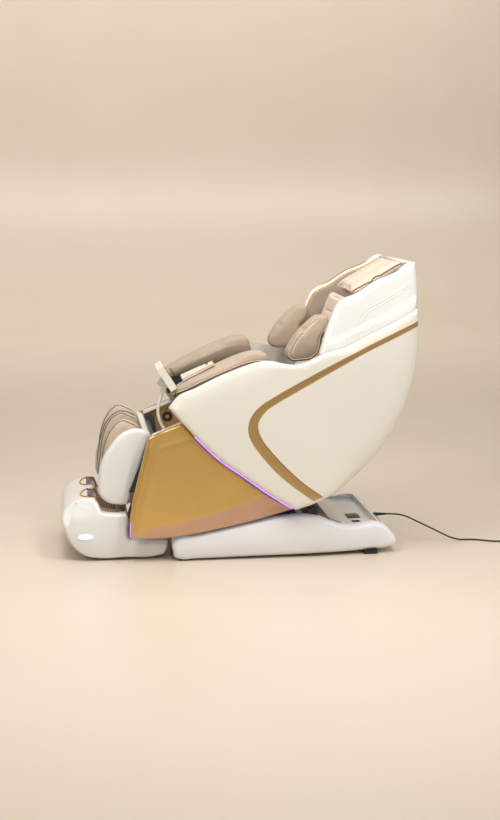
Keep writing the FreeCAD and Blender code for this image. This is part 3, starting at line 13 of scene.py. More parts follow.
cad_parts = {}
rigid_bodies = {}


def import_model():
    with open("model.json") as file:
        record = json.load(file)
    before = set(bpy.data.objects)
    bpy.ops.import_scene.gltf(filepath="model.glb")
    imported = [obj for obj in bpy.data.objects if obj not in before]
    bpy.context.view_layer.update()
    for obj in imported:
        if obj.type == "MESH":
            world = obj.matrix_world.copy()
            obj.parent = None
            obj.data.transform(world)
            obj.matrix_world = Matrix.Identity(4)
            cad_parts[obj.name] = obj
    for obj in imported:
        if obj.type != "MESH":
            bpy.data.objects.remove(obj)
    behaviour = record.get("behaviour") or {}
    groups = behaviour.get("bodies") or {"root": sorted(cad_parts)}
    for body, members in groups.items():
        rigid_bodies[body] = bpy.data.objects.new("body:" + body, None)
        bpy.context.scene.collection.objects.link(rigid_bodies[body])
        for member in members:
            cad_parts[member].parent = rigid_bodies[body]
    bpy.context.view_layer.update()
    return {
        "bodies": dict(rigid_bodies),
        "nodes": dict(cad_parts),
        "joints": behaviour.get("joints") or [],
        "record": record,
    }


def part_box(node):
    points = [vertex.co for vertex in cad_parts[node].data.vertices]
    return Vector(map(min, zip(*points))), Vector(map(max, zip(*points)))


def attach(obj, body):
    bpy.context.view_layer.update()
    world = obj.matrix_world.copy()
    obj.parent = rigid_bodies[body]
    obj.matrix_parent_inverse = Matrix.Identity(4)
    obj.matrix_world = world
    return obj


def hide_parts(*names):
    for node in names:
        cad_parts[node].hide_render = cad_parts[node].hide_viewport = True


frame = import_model()
scene = bpy.context.scene
MM = 0.001

# %% [markdown]
# ## Camera
# A long lens from the sitter's left keeps the side view almost flat, as a catalogue does. The
# camera is placed by its bearing and its slope, so the numbers say what a tripod would.

# %% Camera
BEARING = math.radians(82.441)
SLOPE = math.radians(9.214)
lens = bpy.data.cameras.new("camera")
lens.lens = 62.7
lens.sensor_width = 36
camera = bpy.data.objects.new("camera", lens)
scene.collection.objects.link(camera)
looking = Vector((-math.sin(BEARING) * math.cos(SLOPE), math.cos(BEARING) * math.cos(SLOPE), -math.sin(SLOPE)))
camera.location = (6.2106, -0.7362, 1.611)
camera.rotation_euler = looking.to_track_quat("-Z", "Y").to_euler()
scene.camera = camera
print("camera looks along", [round(part, 3) for part in looking])

# %% [markdown]
# ## Power cord
# The lead leaves the base through a tapered grip, falls to the floor and runs away in lazy bends.
# One smooth curve makes the run and the coil, because a real lead is one piece: control points
# shape it as hands would. The spare length is wound in a neat coil with its plug beside it.

# %% Power cord
CORD_ROUTE = [
    (100, 690, 127), (101, 735, 126), (103, 778, 116), (108, 824, 93), (116, 878, 67), (125, 930, 41),
    (131, 975, 18), (132, 1016, 6), (128, 1052, 3.8), (131, 1090, 3.8), (152, 1126, 3.8),
    (174, 1162, 3.8), (181, 1204, 3.8), (176, 1246, 3.8), (164, 1286, 3.8)]
CORD_RADIUS = 3.5
COIL_MIDDLE = (125.5, 1330)
COIL_TURNS = 4
POINTS_A_TURN = 14
coil_low, coil_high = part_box("cord_coil")
coil_outer = (coil_high.x - coil_low.x) / 2 / MM - CORD_RADIUS
route = list(CORD_ROUTE)
start_angle = math.atan2(CORD_ROUTE[-1][1] - COIL_MIDDLE[1], CORD_ROUTE[-1][0] - COIL_MIDDLE[0])
for step in range(1, COIL_TURNS * POINTS_A_TURN + 1):
    turn = step / POINTS_A_TURN
    angle = start_angle + math.tau * turn
    reach = coil_outer - 0.5 - (2.2 if int(turn) % 2 else 0)
    height = 3.8 + 4.6 * min(turn, COIL_TURNS - 0.4)
    route.append((COIL_MIDDLE[0] + reach * math.cos(angle), COIL_MIDDLE[1] + reach * math.sin(angle), height))
curve = bpy.data.curves.new("power_lead", "CURVE")
curve.dimensions = "3D"
line = curve.splines.new("NURBS")
line.points.add(len(route) - 1)
for control, place in zip(line.points, route):
    control.co = (*[part * MM for part in place], 1)
line.order_u = 3
line.use_endpoint_u = True
line.resolution_u = 6
curve.bevel_depth = CORD_RADIUS * MM
curve.bevel_resolution = 5
curve.use_fill_caps = True
lead = bpy.data.objects.new("power_lead", curve)
scene.collection.objects.link(lead)


def line_of(curve_object):
    """The centre line of a curve, and its length in metres."""
    bare = curve_object.data.copy()
    bare.bevel_depth = 0
    probe = bpy.data.objects.new("probe", bare)
    scene.collection.objects.link(probe)
    flat = bpy.data.meshes.new_from_object(probe.evaluated_get(bpy.context.evaluated_depsgraph_get()))
    points = [vertex.co.copy() for vertex in flat.vertices]
    bpy.data.objects.remove(probe)
    bpy.data.meshes.remove(flat)
    return points, sum((b - a).length for a, b in zip(points, points[1:]))


lead_points, lead_length = line_of(lead)
print(f"power lead: {lead_length:.3f} m, floor to {min(p.z for p in lead_points) / MM:.1f} mm")

# %% [markdown]
# ## Floor and light
# A pale floor runs up into a far backdrop, so there is room to walk round. Gloss shows only what
# it reflects, so the light is a broad ceiling panel for soft tops, dimmer panels at the side and
# back, one for the backdrop, and two slim tubes that draw the bright streaks on the shells.

# %% Floor and light
FLOOR_SIZE = 36.0
BACKDROP = -9.5
BEND = 2.4
half = FLOOR_SIZE / 2
profile = [(half, 0.0)] + [(BACKDROP - BEND * math.sin(turn), BEND - BEND * math.cos(turn))
                           for turn in (math.pi / 2 * step / 12 for step in range(13))]
profile.append((BACKDROP - BEND, 12.0))
corners = [(x, y, z) for x, z in profile for y in (-half, half)]
floor_mesh = bpy.data.meshes.new("floor")
floor_mesh.from_pydata(corners, [], [(row, row + 1, row + 3, row + 2) for row in range(0, len(corners) - 2, 2)])
floor_mesh.shade_smooth()
floor = bpy.data.objects.new("floor", floor_mesh)
scene.collection.objects.link(floor)


def lamp(name, place, aim, width, height, power, colour):
    """A soft rectangular light at place, turned towards aim."""
    light = bpy.data.lights.new(name, "AREA")
    light.shape = "RECTANGLE"
    light.size, light.size_y = width, height
    light.energy = power
    light.color = colour
    holder = bpy.data.objects.new(name, light)
    holder.location = place
    holder.rotation_euler = (Vector(aim) - Vector(place)).to_track_quat("-Z", "Y").to_euler()
    scene.collection.objects.link(holder)


# Each row is a name, a place, the place it shines at, a width and height in metres, watts and a colour.
LAMPS = (
    ("ceiling_panel", (0.6, -0.1, 3.6), (0, 0, 0), 3.4, 5.0, 92, (1.0, 0.97, 0.93)),
    ("side_panel", (4.6, -3.2, 2.4), (0, 0, 0.6), 2.6, 1.8, 20, (1.0, 0.96, 0.91)),
    ("back_panel", (2.6, 4.0, 2.6), (0, 0.3, 0.7), 1.6, 1.8, 26, (0.97, 0.98, 1.0)),
    ("backdrop_panel", (-7.0, 0, 7.5), (-12.0, 0, 1.5), 14.0, 2.4, 620, (1.0, 0.98, 0.95)),
    ("streak_tube", (2.0, 0.9, 2.9), (0.2, 0.5, 0.5), 0.10, 1.5, 34, (1.0, 1.0, 1.0)),
    ("front_tube", (1.3, -0.8, 2.8), (0.3, -0.3, 0.2), 0.08, 1.2, 26, (1.0, 1.0, 1.0)))
for row in LAMPS:
    lamp(*row)
world = bpy.data.worlds.new("studio")
world.use_nodes = True
world.node_tree.nodes["Background"].inputs["Color"].default_value = (0.86, 0.84, 0.82, 1)
world.node_tree.nodes["Background"].inputs["Strength"].default_value = 0.40
scene.world = world
scene.view_settings.view_transform = "Standard"
scene.view_settings.look = "None"

# %% [markdown]
# ## Finishes
# Each finish is a small set of nodes: one noise for slow colour change, one for the grain, and
# bump from the same grain. Writing a maker for it keeps all finishes alike in build and lets
# each piece differ only in its own numbers. Values that are even over a surface are set on
# the shader itself.

# %% Finish maker
finishes = {}


class Finish:
    """A material under construction: the shader and short ways to add nodes before it."""

    def __init__(self, name, colour, rough, metal=0.0, **sockets):
        self.material = bpy.data.materials.new(name)
        self.material.use_nodes = True
        self.tree = self.material.node_tree
        self.shader = self.tree.nodes["Principled BSDF"]
        self.colour = colour
        self.shader.inputs["Base Color"].default_value = (*colour, 1)
        self.shader.inputs["Roughness"].default_value = rough
        self.shader.inputs["Metallic"].default_value = metal
        for socket, number in sockets.items():
            self.shader.inputs[socket.replace("_", " ")].default_value = number
        self.place = self.tree.nodes.new("ShaderNodeTexCoord").outputs["Object"]
        self.height = None
        finishes[name] = self.material

    def node(self, kind, links=(), **values):
        made = self.tree.nodes.new(kind)
        for name, value in values.items():
            if hasattr(made, name):
                setattr(made, name, value)
            else:
                made.inputs[name.replace("_", " ")].default_value = value
        for socket, source in links:
            self.tree.links.new(source, made.inputs[socket])
        return made

    def noise(self, scale, detail=3.0, roughness=0.5, stretch=None):
        source = self.place
        if stretch:
            source = self.node("ShaderNodeMapping", [("Vector", self.place)], Scale=stretch).outputs["Vector"]
        return self.node("ShaderNodeTexNoise", [("Vector", source)], Scale=scale, Detail=detail,
                         Roughness=roughness).outputs["Fac"]

    def cells(self, scale, feature="DISTANCE_TO_EDGE"):
        return self.node("ShaderNodeTexVoronoi", [("Vector", self.place)], feature=feature,
                         Scale=scale).outputs["Distance"]

    def ramp(self, source, low, high, start=0.0, end=1.0):
        made = self.node("ShaderNodeMapRange", [("Value", source)], From_Min=low, From_Max=high,
                         To_Min=start, To_Max=end)
        return made.outputs["Result"]

    def tint(self, factor, other):
        """Change the colour towards another one by a factor, on top of earlier changes."""
        mix = self.node("ShaderNodeMix", data_type="RGBA")
        inputs = [socket for socket in mix.inputs if socket.type == "RGBA"]
        result = [socket for socket in mix.outputs if socket.type == "RGBA"][0]
        inputs[0].default_value = (*self.colour, 1)
        inputs[1].default_value = (*other, 1)
        base = self.shader.inputs["Base Color"]
        if base.is_linked:
            self.tree.links.new(base.links[0].from_socket, inputs[0])
        self.tree.links.new(factor, mix.inputs["Factor"])
        self.tree.links.new(result, base)
        return self

    def rough(self, factor, low, high):
        self.tree.links.new(self.ramp(factor, 0, 1, low, high), self.shader.inputs["Roughness"])
        return self

    def bump(self, source, strength, depth):
        """Add relief of a depth in metres, on top of earlier relief."""
        made = self.node("ShaderNodeBump", [("Height", source)], Strength=strength, Distance=depth)
        if self.height:
            self.tree.links.new(self.height, made.inputs["Normal"])
        self.height = made.outputs["Normal"]
        self.tree.links.new(self.height, self.shader.inputs["Normal"])
        return self


def shade(colour, factor):
    return tuple(min(1.0, part * factor) for part in colour)


# %% [markdown]
# ### Plastics, metals and rubber
# Lacquered shells have a clear coat over a colour that shifts a little from place to place, and a
# faint orange-peel ripple. Moulded black plastic has a fine spark-eroded grain. Steel shows the
# direction it was ground in.

# %% Hard finishes
SHELL_WHITE = (0.74, 0.705, 0.62)
HOOD_WHITE = (0.80, 0.795, 0.76)
GOLD = (0.66, 0.42, 0.13)


def lacquer(name, colour, rough=0.16, coat=0.6, peel=0.00012):
    made = Finish(name, colour, rough, Coat_Weight=coat, Coat_Roughness=0.04, IOR=1.5)
    made.tint(made.ramp(made.noise(2.2, 2), 0.35, 0.75), shade(colour, 0.955))
    made.tint(made.ramp(made.noise(900, 1), 0.62, 0.8, 0, 0.12), shade(colour, 0.8))
    made.rough(made.noise(26, 3), rough * 0.8, rough * 1.4)
    return made.bump(made.noise(240, 2), 0.25, peel)


def satin_metal(name, colour, rough=0.34, grain=(4, 1, 60)):
    made = Finish(name, colour, rough, 0.72, Coat_Weight=0.25, Coat_Roughness=0.18)
    brushed = made.noise(42, 4, 0.62, grain)
    made.tint(made.ramp(brushed, 0.35, 0.7, 0, 0.55), shade(colour, 0.74))
    made.tint(made.ramp(made.noise(3.1, 2), 0.4, 0.75, 0, 0.6), shade(colour, 1.16))
    made.rough(brushed, rough * 0.75, rough * 1.35)
    return made.bump(brushed, 0.18, 0.00008)


def moulded(name, colour, rough=0.5, grain=700, depth=0.00008):
    made = Finish(name, colour, rough, IOR=1.46)
    made.tint(made.ramp(made.noise(9, 3), 0.35, 0.8, 0, 0.6), shade(colour, 0.82))
    made.rough(made.noise(60, 3), rough * 0.85, rough * 1.2)
    return made.bump(made.noise(grain, 2), 0.45, depth)


lacquer("shell_ivory", SHELL_WHITE)
lacquer("hood_gloss", HOOD_WHITE, 0.13)
lacquer("base_gloss", (0.83, 0.83, 0.84), 0.12)
lacquer("deck_pale", (0.74, 0.77, 0.81), 0.2)
satin_metal("gold_satin", GOLD, 0.36)
satin_metal("stripe_bronze", (0.53, 0.335, 0.13), 0.3)
# A rosier gold, used as a painted floor reflection on the gold panels' lower band.
satin_metal("gold_floor_reflection", (0.60, 0.37, 0.25), 0.4)
moulded("black_moulded", (0.022, 0.022, 0.024), 0.42)
moulded("holder_cream", (0.74, 0.70, 0.60), 0.36)
moulded("gooseneck_cream", (0.76, 0.73, 0.64), 0.3, 1200, 0.00004)
moulded("foot_rubber", (0.02, 0.02, 0.02), 0.75, 420, 0.0002)
moulded("cord_black", (0.012, 0.014, 0.013), 0.48, 900, 0.00005)
moulded("powder_black", (0.045, 0.045, 0.048), 0.55, 520, 0.00015)
moulded("roller_tan", (0.42, 0.33, 0.25), 0.55, 500, 0.0001)
steel = Finish("ground_steel", (0.52, 0.52, 0.53), 0.3, 1.0)
lines_of_grinding = steel.noise(60, 4, 0.6, (1, 30, 30))
steel.tint(steel.ramp(lines_of_grinding, 0.3, 0.75, 0, 0.6), (0.36, 0.36, 0.38))
steel.rough(lines_of_grinding, 0.22, 0.42).bump(lines_of_grinding, 0.15, 0.00005)
screen = Finish("screen_glass", (0.015, 0.018, 0.022), 0.08, Coat_Weight=1.0, Coat_Roughness=0.02)
screen.tint(screen.ramp(screen.noise(30, 2), 0.4, 0.8, 0, 0.4), (0.03, 0.035, 0.04))
screen.rough(screen.noise(14, 3), 0.05, 0.16)
print("hard finishes:", len(finishes))

# %% [markdown]
# ### Leather and fabric
# Leather grain is a net of small cells with creases between them, finer pores inside, and a slow
# mottle from wear. Cells at two sizes and one noise give all three. The foot lining is a striped
# knit, drawn with bands across the sitter's foot and a fine weave over them.

# %% Soft finishes
LEATHER_CREAM = (0.70, 0.565, 0.44)
LEATHER_TAUPE = (0.435, 0.335, 0.245)
LEATHER_BEIGE = (0.56, 0.445, 0.335)


def leather(name, colour, rough=0.44):
    made = Finish(name, colour, rough, Sheen_Weight=0.12, Sheen_Roughness=0.5, Specular_IOR_Level=0.4)
    creases = made.cells(420)
    pores = made.noise(1500, 2)
    mottle = made.noise(7, 4, 0.6)
    made.tint(made.ramp(mottle, 0.35, 0.75, 0, 0.75), shade(colour, 0.86))
    made.tint(made.ramp(creases, 0.0, 0.09, 0.42, 0), shade(colour, 0.62))
    made.rough(mottle, rough * 0.85, rough * 1.2)
    made.bump(made.ramp(creases, 0, 0.14), 0.35, 0.00022)
    return made.bump(pores, 0.2, 0.00006)


leather("leather_cream", LEATHER_CREAM)
leather("leather_taupe", LEATHER_TAUPE)
leather("leather_taupe_dark", shade(LEATHER_TAUPE, 0.72))
leather("leather_beige", LEATHER_BEIGE)
leather("leather_brown", (0.20, 0.125, 0.075))
leather("piping_light", shade(LEATHER_CREAM, 1.05), 0.4)
leather("piping_dark", (0.17, 0.145, 0.10), 0.5)
thread = Finish("thread_cream", (0.80, 0.68, 0.54), 0.6, Sheen_Weight=0.3)
thread.tint(thread.ramp(thread.noise(900, 2), 0.3, 0.7, 0, 0.5), (0.55, 0.43, 0.31))
thread.bump(thread.noise(1600, 2, 0.5, (1, 4, 1)), 0.5, 0.0002)
knit = Finish("lining_knit", (0.34, 0.22, 0.13), 0.85, Sheen_Weight=0.4, Sheen_Roughness=0.4)
bands = knit.node("ShaderNodeTexWave", [("Vector", knit.place)], wave_type="BANDS", bands_direction="Y",
                  Scale=28.0, Distortion=0.6, Detail=1.0).outputs["Fac"]
weave = knit.node("ShaderNodeTexWave", [("Vector", knit.place)], wave_type="BANDS", bands_direction="X",
                  Scale=260.0, Distortion=0.4).outputs["Fac"]
knit.tint(knit.ramp(bands, 0.45, 0.7), (0.13, 0.075, 0.04))
knit.tint(knit.ramp(weave, 0.3, 0.8, 0, 0.35), (0.50, 0.36, 0.24))
knit.bump(bands, 0.5, 0.0012).bump(weave, 0.5, 0.0003)
print("all finishes:", len(finishes))

# %% [markdown]
# ### Lights in the shell
# The lamp in the foot box and the strip under the wing glow by themselves. Emission on the shader
# does that, and a faint noise lightens the colour here and there.

# %% Glowing finishes
glow = Finish("lamp_ice", (0.42, 0.74, 1.0), 0.25, Emission_Strength=1.5)
glow.shader.inputs["Emission Color"].default_value = (0.48, 0.80, 1.0, 1)
glow.tint(glow.ramp(glow.noise(140, 2), 0.3, 0.7, 0, 0.4), (0.85, 0.95, 1.0))
violet = Finish("strip_violet", (0.20, 0.11, 1.0), 0.3, Emission_Strength=3.0)
violet.shader.inputs["Emission Color"].default_value = (0.32, 0.12, 1.0, 1)
violet.tint(violet.ramp(violet.noise(60, 2), 0.3, 0.7, 0, 0.3), (0.55, 0.40, 1.0))
for node, finish in (
        ("base_feet", "foot_rubber"), ("strain_relief", "cord_black"), ("cord_plug", "cord_black"),
        ("base_frame", "powder_black"), ("slide_carriage", "powder_black"), ("seat_frame", "powder_black"),
        ("seat_pan", "powder_black"), ("back_frame", "powder_black"), ("leg_frame", "powder_black"),
        ("hinge_brackets", "black_moulded"), ("slide_blocks", "black_moulded"), ("power_supply", "ground_steel"),
        ("air_pump", "black_moulded"), ("control_box", "black_moulded"), ("travel_screw", "ground_steel"),
        ("massage_carriage", "ground_steel"), ("massage_arms", "ground_steel"), ("rollers_upper", "roller_tan"),
        ("rollers_lower", "roller_tan"), ("foot_rollers", "roller_tan"), ("recline_actuator_tube", "black_moulded"),
        ("recline_actuator_rod", "ground_steel"), ("leg_actuator_tube", "black_moulded"),
        ("leg_actuator_rod", "ground_steel"), ("lift_actuator_tube", "black_moulded"),
        ("lift_actuator_rod", "ground_steel"), ("switch_housing", "black_moulded"),
        ("power_rocker", "black_moulded"), ("base_deck", "deck_pale"), ("tablet", "screen_glass"),
        ("foot_linings", "lining_knit"), ("foot_lamps", "lamp_ice"), ("light_strips", "strip_violet"),
        ("armrest_trays", "black_moulded"), ("gooseneck", "gooseneck_cream"),
        ("gooseneck_socket", "gooseneck_cream"), ("panel_decks", "deck_pale"),
        ("quick_button", "black_moulded"), ("back_cover", "shell_ivory"), ("base_shell", "base_gloss"),
        ("hood_shell", "hood_gloss"), ("foot_box", "hood_gloss"), ("calf_shell", "hood_gloss"),
        ("quick_panel", "hood_gloss"), ("cable_winding", "cord_black"), ("tablet_cable", "cord_black"),
        ("wing_shell_left", "shell_ivory"), ("wing_shell_right", "shell_ivory"), ("side_panel_left", "gold_satin"),
        ("side_panel_right", "gold_satin"), ("tablet_holder", "holder_cream"), ("seat_cushion", "leather_cream"),
        ("back_cushion", "leather_cream"), ("pillow", "leather_cream"), ("shoulder_pads", "leather_taupe"),
        ("armrest_pads", "leather_taupe"), ("calf_pads", "leather_beige")):
    mesh = frame["nodes"][node].data
    mesh.materials.clear()
    mesh.materials.append(finishes[finish])
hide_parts("power_cord", "cord_coil")
lead.data.materials.append(finishes["cord_black"])
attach(lead, "base")
stand = Finish("floor_pale", (0.66, 0.57, 0.46), 0.32, Specular_IOR_Level=0.35)
stand.tint(stand.ramp(stand.noise(1.4, 3), 0.3, 0.8, 0, 0.5), (0.71, 0.62, 0.51))
stand.bump(stand.noise(35, 3), 0.05, 0.0005)
floor.data.materials.append(finishes["floor_pale"])
print("finished CAD nodes")

# %% [markdown]
# ## Shell tools
# A moulded side panel is an outline in the side view and a rule for how far it stands out: it
# rolls up from its rim, runs flat, and carries grooves or facets. So the outline is meshed with
# fine rows along the rim and a net inside, and each point gets its height from the rule. Sculpting
# it by hand would look similar, but then nothing could be laid on it exactly, as the stripe is.

# %% Outlines
def smooth_loop(points, step=7.0, sharp=()):
    """A closed line through the points, in millimetres; the numbers in sharp keep their corner."""
    count = len(points)
    places = [Vector(point) for point in points]
    line = []
    for index in range(count):
        here, there = places[index], places[(index + 1) % count]
        run = (there - here).length

        def tangent(at):
            before, middle, after = places[at - 1], places[at], places[(at + 1) % count]
            if at % count in sharp:
                return (there - here) / run
            back, ahead = (middle - before).length, (after - middle).length
            return ((middle - before) / back * ahead + (after - middle) / ahead * back) / (back + ahead)
        leave = tangent(index) * run
        arrive = tangent((index + 1) % count) * run
        pieces = max(2, math.ceil(run / step))
        for piece in range(pieces):
            t = piece / pieces
            line.append((2 * t ** 3 - 3 * t ** 2 + 1) * here + (t ** 3 - 2 * t ** 2 + t) * leave
                        + (3 * t ** 2 - 2 * t ** 3) * there + (t ** 3 - t ** 2) * arrive)
    return line


def smooth_path(points, step=6.0):
    """An open line through the points."""
    closed = smooth_loop(list(points) + [Vector(points[-1]) + (Vector(points[0]) - Vector(points[-1])) * 0.5],
                         step, sharp=(0, len(points) - 1, len(points)))
    last = min(range(len(closed)), key=lambda at: (closed[at] - Vector(points[-1])).length)
    return closed[:last + 1]


def turns_left(loop):
    return sum(a.x * b.y - b.x * a.y for a, b in zip(loop, loop[1:] + loop[:1])) > 0


def inset(loop, depth):
    """The loop moved inwards by a depth, or outwards by a negative one."""
    sign = 1 if turns_left(loop) else -1
    moved = []
    for index, here in enumerate(loop):
        before = (here - loop[index - 1]).normalized()
        after = (loop[(index + 1) % len(loop)] - here).normalized()
        normal = Vector((-(before + after).y, (before + after).x)).normalized() * sign
        corner = max(0.35, math.sqrt(max(0.0, (1 + before.dot(after)) / 2)))
        moved.append(here + normal * depth / corner)
    return moved


def distance_tree(line):
    tree = kdtree.KDTree(len(line))
    for index, point in enumerate(line):
        tree.insert((point.x, point.y, 0), index)
    tree.balance()
    return tree


def away(tree, point):
    return tree.find((point[0], point[1], 0))[2]


def inside(loop, point):
    hit = False
    for a, b in zip(loop, loop[1:] + loop[:1]):
        if (a.y > point[1]) != (b.y > point[1]):
            if point[0] < (b.x - a.x) * (point[1] - a.y) / (b.y - a.y) + a.x:
                hit = not hit
    return hit


def ease(value):
    value = min(1.0, max(0.0, value))
    return value * value * (3 - 2 * value)


def rolled(depth, radius):
    """The rise of a round rim: 0 at the edge, 1 from one radius in."""
    t = min(1.0, depth / radius)
    return math.sqrt(max(0.0, 1 - (1 - t) ** 2))


# %% [markdown]
# The mesh maker takes the outline and two height rules, one for each face. It joins the faces at
# the rim, so every panel is closed. The same mesh turned over in X is the other side's panel.

# %% Panel maker
def add_piece(name, mesh, finish, body, smooth_angle=40):
    """Give a finished mesh its finish, body and fine shading."""
    piece = bpy.data.objects.new(name, mesh)
    scene.collection.objects.link(piece)
    if finish:
        mesh.materials.clear()
        mesh.materials.append(finishes[finish])
    mesh.shade_smooth()
    mesh.set_sharp_from_angle(angle=math.radians(smooth_angle))
    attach(piece, body)
    return piece


def tidy(mesh, merge=0.01):
    """Merge doubles, drop empty faces and turn all faces outwards."""
    work = bmesh.new()
    work.from_mesh(mesh)
    bmesh.ops.remove_doubles(work, verts=work.verts, dist=merge * MM)
    bmesh.ops.dissolve_degenerate(work, edges=work.edges, dist=merge * MM)
    bmesh.ops.recalc_face_normals(work, faces=work.faces)
    work.to_mesh(mesh)
    work.free()
    return mesh


def panel_mesh(name, loop, front, back, rows=(1.2, 3, 6, 10, 15, 21, 28), net=11.0):
    """A closed panel over a loop; front and back give X for a place and its depth from the rim."""
    dense = smooth_loop(loop, 1.5, sharp=range(len(loop)))
    tree = distance_tree(dense)
    free = []
    for row in rows:
        for point in inset(loop, row)[::1 if row < 12 else 2]:
            if inside(loop, point) and away(tree, point) > row * 0.8:
                free.append(point)
    lows = [min(point[axis] for point in loop) for axis in (0, 1)]
    highs = [max(point[axis] for point in loop) for axis in (0, 1)]
    line, y = 0, lows[0] + net / 2
    while y < highs[0]:
        z = lows[1] + net * (0.5 if line % 2 else 1.0)
        while z < highs[1]:
            if inside(loop, (y, z)) and away(tree, (y, z)) > rows[-1] + net * 0.6:
                free.append(Vector((y, z)))
            z += net
        y += net * 0.87
        line += 1
    every = [Vector(point) for point in loop] + free
    places, _, faces, origins, _, _ = geometry.delaunay_2d_cdt(
        every, [], [list(range(len(loop)))], 1, 0.05)
    rim = {index for index, sources in enumerate(origins) if any(source < len(loop) for source in sources)}
    depth = [0.0 if index in rim else away(tree, place) for index, place in enumerate(places)]
    corners = [(front(place, deep) * MM, place.x * MM, place.y * MM) for place, deep in zip(places, depth)]
    behind = [(back(place, deep) * MM, place.x * MM, place.y * MM) for place, deep in zip(places, depth)]
    count = len(places)
    skin = [tuple(face) for face in faces] + [tuple(count + at for at in reversed(face)) for face in faces]
    uses = {}
    for face in faces:
        for a, b in zip(face, list(face[1:]) + [face[0]]):
            uses.setdefault(frozenset((a, b)), []).append((a, b))
    skin += [(pair[0][1], pair[0][0], count + pair[0][0], count + pair[0][1])
             for pair in uses.values() if len(pair) == 1]
    mesh = bpy.data.meshes.new(name)
    mesh.from_pydata(corners + behind, [], skin)
    mesh.validate()
    return tidy(mesh)


def other_side(mesh, name):
    """The same mesh on the sitter's right."""
    twin = mesh.copy()
    twin.name = name
    twin.transform(Matrix.Scale(-1, 4, Vector((1, 0, 0))))
    twin.flip_normals()
    return twin


def both_sides(name, mesh, finish, body, nodes=(), smooth_angle=40):
    """A left piece and its mirror image; nodes are one CAD node a side, or one for both."""
    pair = [add_piece(f"{name}_left", mesh, finish, body, smooth_angle),
            add_piece(f"{name}_right", other_side(mesh, f"{name}_right"), finish, body, smooth_angle)]
    for piece, node in zip(pair, nodes):
        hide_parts(node)
    return pair


def loft_mesh(name, loop, half, rims, widths=None):
    """A block across X: the loop is inset by each (from the side, inset) pair towards both sides."""
    stations = [(-half + out, deep) for out, deep in rims] + [(half - out, deep) for out, deep in reversed(rims)]
    corners, faces = [], []
    count = len(loop)
    for x, deep in stations:
        ring = inset(loop, deep) if deep else loop
        for point in ring:
            share = widths(point) if widths else 1.0
            corners.append((x * share * MM, point[0] * MM, point[1] * MM))
    for row in range(len(stations) - 1):
        for at in range(count):
            nxt = (at + 1) % count
            faces.append((row * count + at, row * count + nxt, (row + 1) * count + nxt, (row + 1) * count + at))
    last = (len(stations) - 1) * count
    flat = [Vector(point) for point in inset(loop, rims[0][1])]
    _, _, caps, origins, _, _ = geometry.delaunay_2d_cdt(flat, [], [list(range(count))], 1, 0.01)
    for cap in caps:
        try:
            ring = [origins[at][0] for at in cap]
        except IndexError:
            continue
        faces += [tuple(ring), tuple(last + at for at in reversed(ring))]
    mesh = bpy.data.meshes.new(name)
    mesh.from_pydata(corners, [], faces)
    mesh.validate()
    return tidy(mesh)


def carve(mesh, name, loop, x_low, x_high):
    """Take a prism with the loop as its outline out of a mesh."""
    cutter = bpy.data.meshes.new("cutter")
    count = len(loop)
    cutter.from_pydata([(x * MM, p[0] * MM, p[1] * MM) for x in (x_low, x_high) for p in loop], [],
                       [tuple(range(count)), tuple(range(2 * count - 1, count - 1, -1))]
                       + [(at, count + at, count + (at + 1) % count, (at + 1) % count) for at in range(count)])
    tidy(cutter)
    work = bpy.data.objects.new("work", mesh)
    tool = bpy.data.objects.new("tool", cutter)
    for thing in (work, tool):
        scene.collection.objects.link(thing)
    modifier = work.modifiers.new("carve", "BOOLEAN")
    modifier.object = tool
    modifier.solver = "EXACT"
    left = bpy.data.meshes.new_from_object(work.evaluated_get(bpy.context.evaluated_depsgraph_get()))
    left.name = name
    for thing in (work, tool):
        bpy.data.objects.remove(thing)
    return left


# %% [markdown]
# ## Side wings
# The wing is the chair's face: a swept shell whose upper edge rolls in to the armrest, and whose
# lower front edge is crisp above a strip of light. The roll is wide where the edge is soft and
# narrow where it is crisp, so its radius is read from the nearest stretch of the outline.

# %% Wing shells
WING = [(-302, 672), (-267, 716), (-191, 751), (-89, 799), (12, 838), (73, 857), (124, 860), (175, 849),
        (226, 843), (277, 853), (337, 881), (439, 912), (540, 962), (650, 1015), (747, 1071), (755, 1010),
        (752, 900), (735, 778), (697, 655), (645, 549), (572, 445), (489, 363), (400, 288), (330, 252),
        (233, 221), (114, 296), (11, 372), (-91, 447), (-167, 521), (-232, 589), (-270, 632)]
WING_SHARP = (0, 14, 24)
WING_FACE = 391.0
WING_BACK = 366.0
wing_loop = smooth_loop(WING, 7, WING_SHARP)
wing_rim = smooth_loop(WING, 1.5, WING_SHARP)
wing_tree = distance_tree(wing_rim)


def wing_roll(place):
    """Width of the rim's roll: wide along the armrest, slim at the light strip and the hood."""
    point = wing_rim[wing_tree.find((place[0], place[1], 0))[1]]
    along_rest = ease((point.y - 640) / 60) * ease((190 - point.x) / 160)
    rear = ease((point.x - 380) / 150) * ease((1040 - point.y) / 120)
    return 16 + 62 * along_rest + 74 * rear


def wing_face(place, deep):
    hollow = 2.2 * math.exp(-(((place[0] - 250) / 260) ** 2 + ((place[1] - 560) / 190) ** 2))
    return WING_BACK + 3 + (WING_FACE - WING_BACK - 3) * rolled(deep, wing_roll(place)) - hollow


def settle(mesh, rounds, lowest):
    """Smooth the outer face in X only, which takes the ridge off where two rolls meet."""
    work = bmesh.new()
    work.from_mesh(mesh)
    moving = [vertex for vertex in work.verts if vertex.co.x > lowest * MM]
    for _ in range(rounds):
        new = {vertex: sum(edge.other_vert(vertex).co.x for edge in vertex.link_edges) / len(vertex.link_edges)
               for vertex in moving}
        for vertex, x in new.items():
            vertex.co.x = x
    work.to_mesh(mesh)
    work.free()
    return mesh


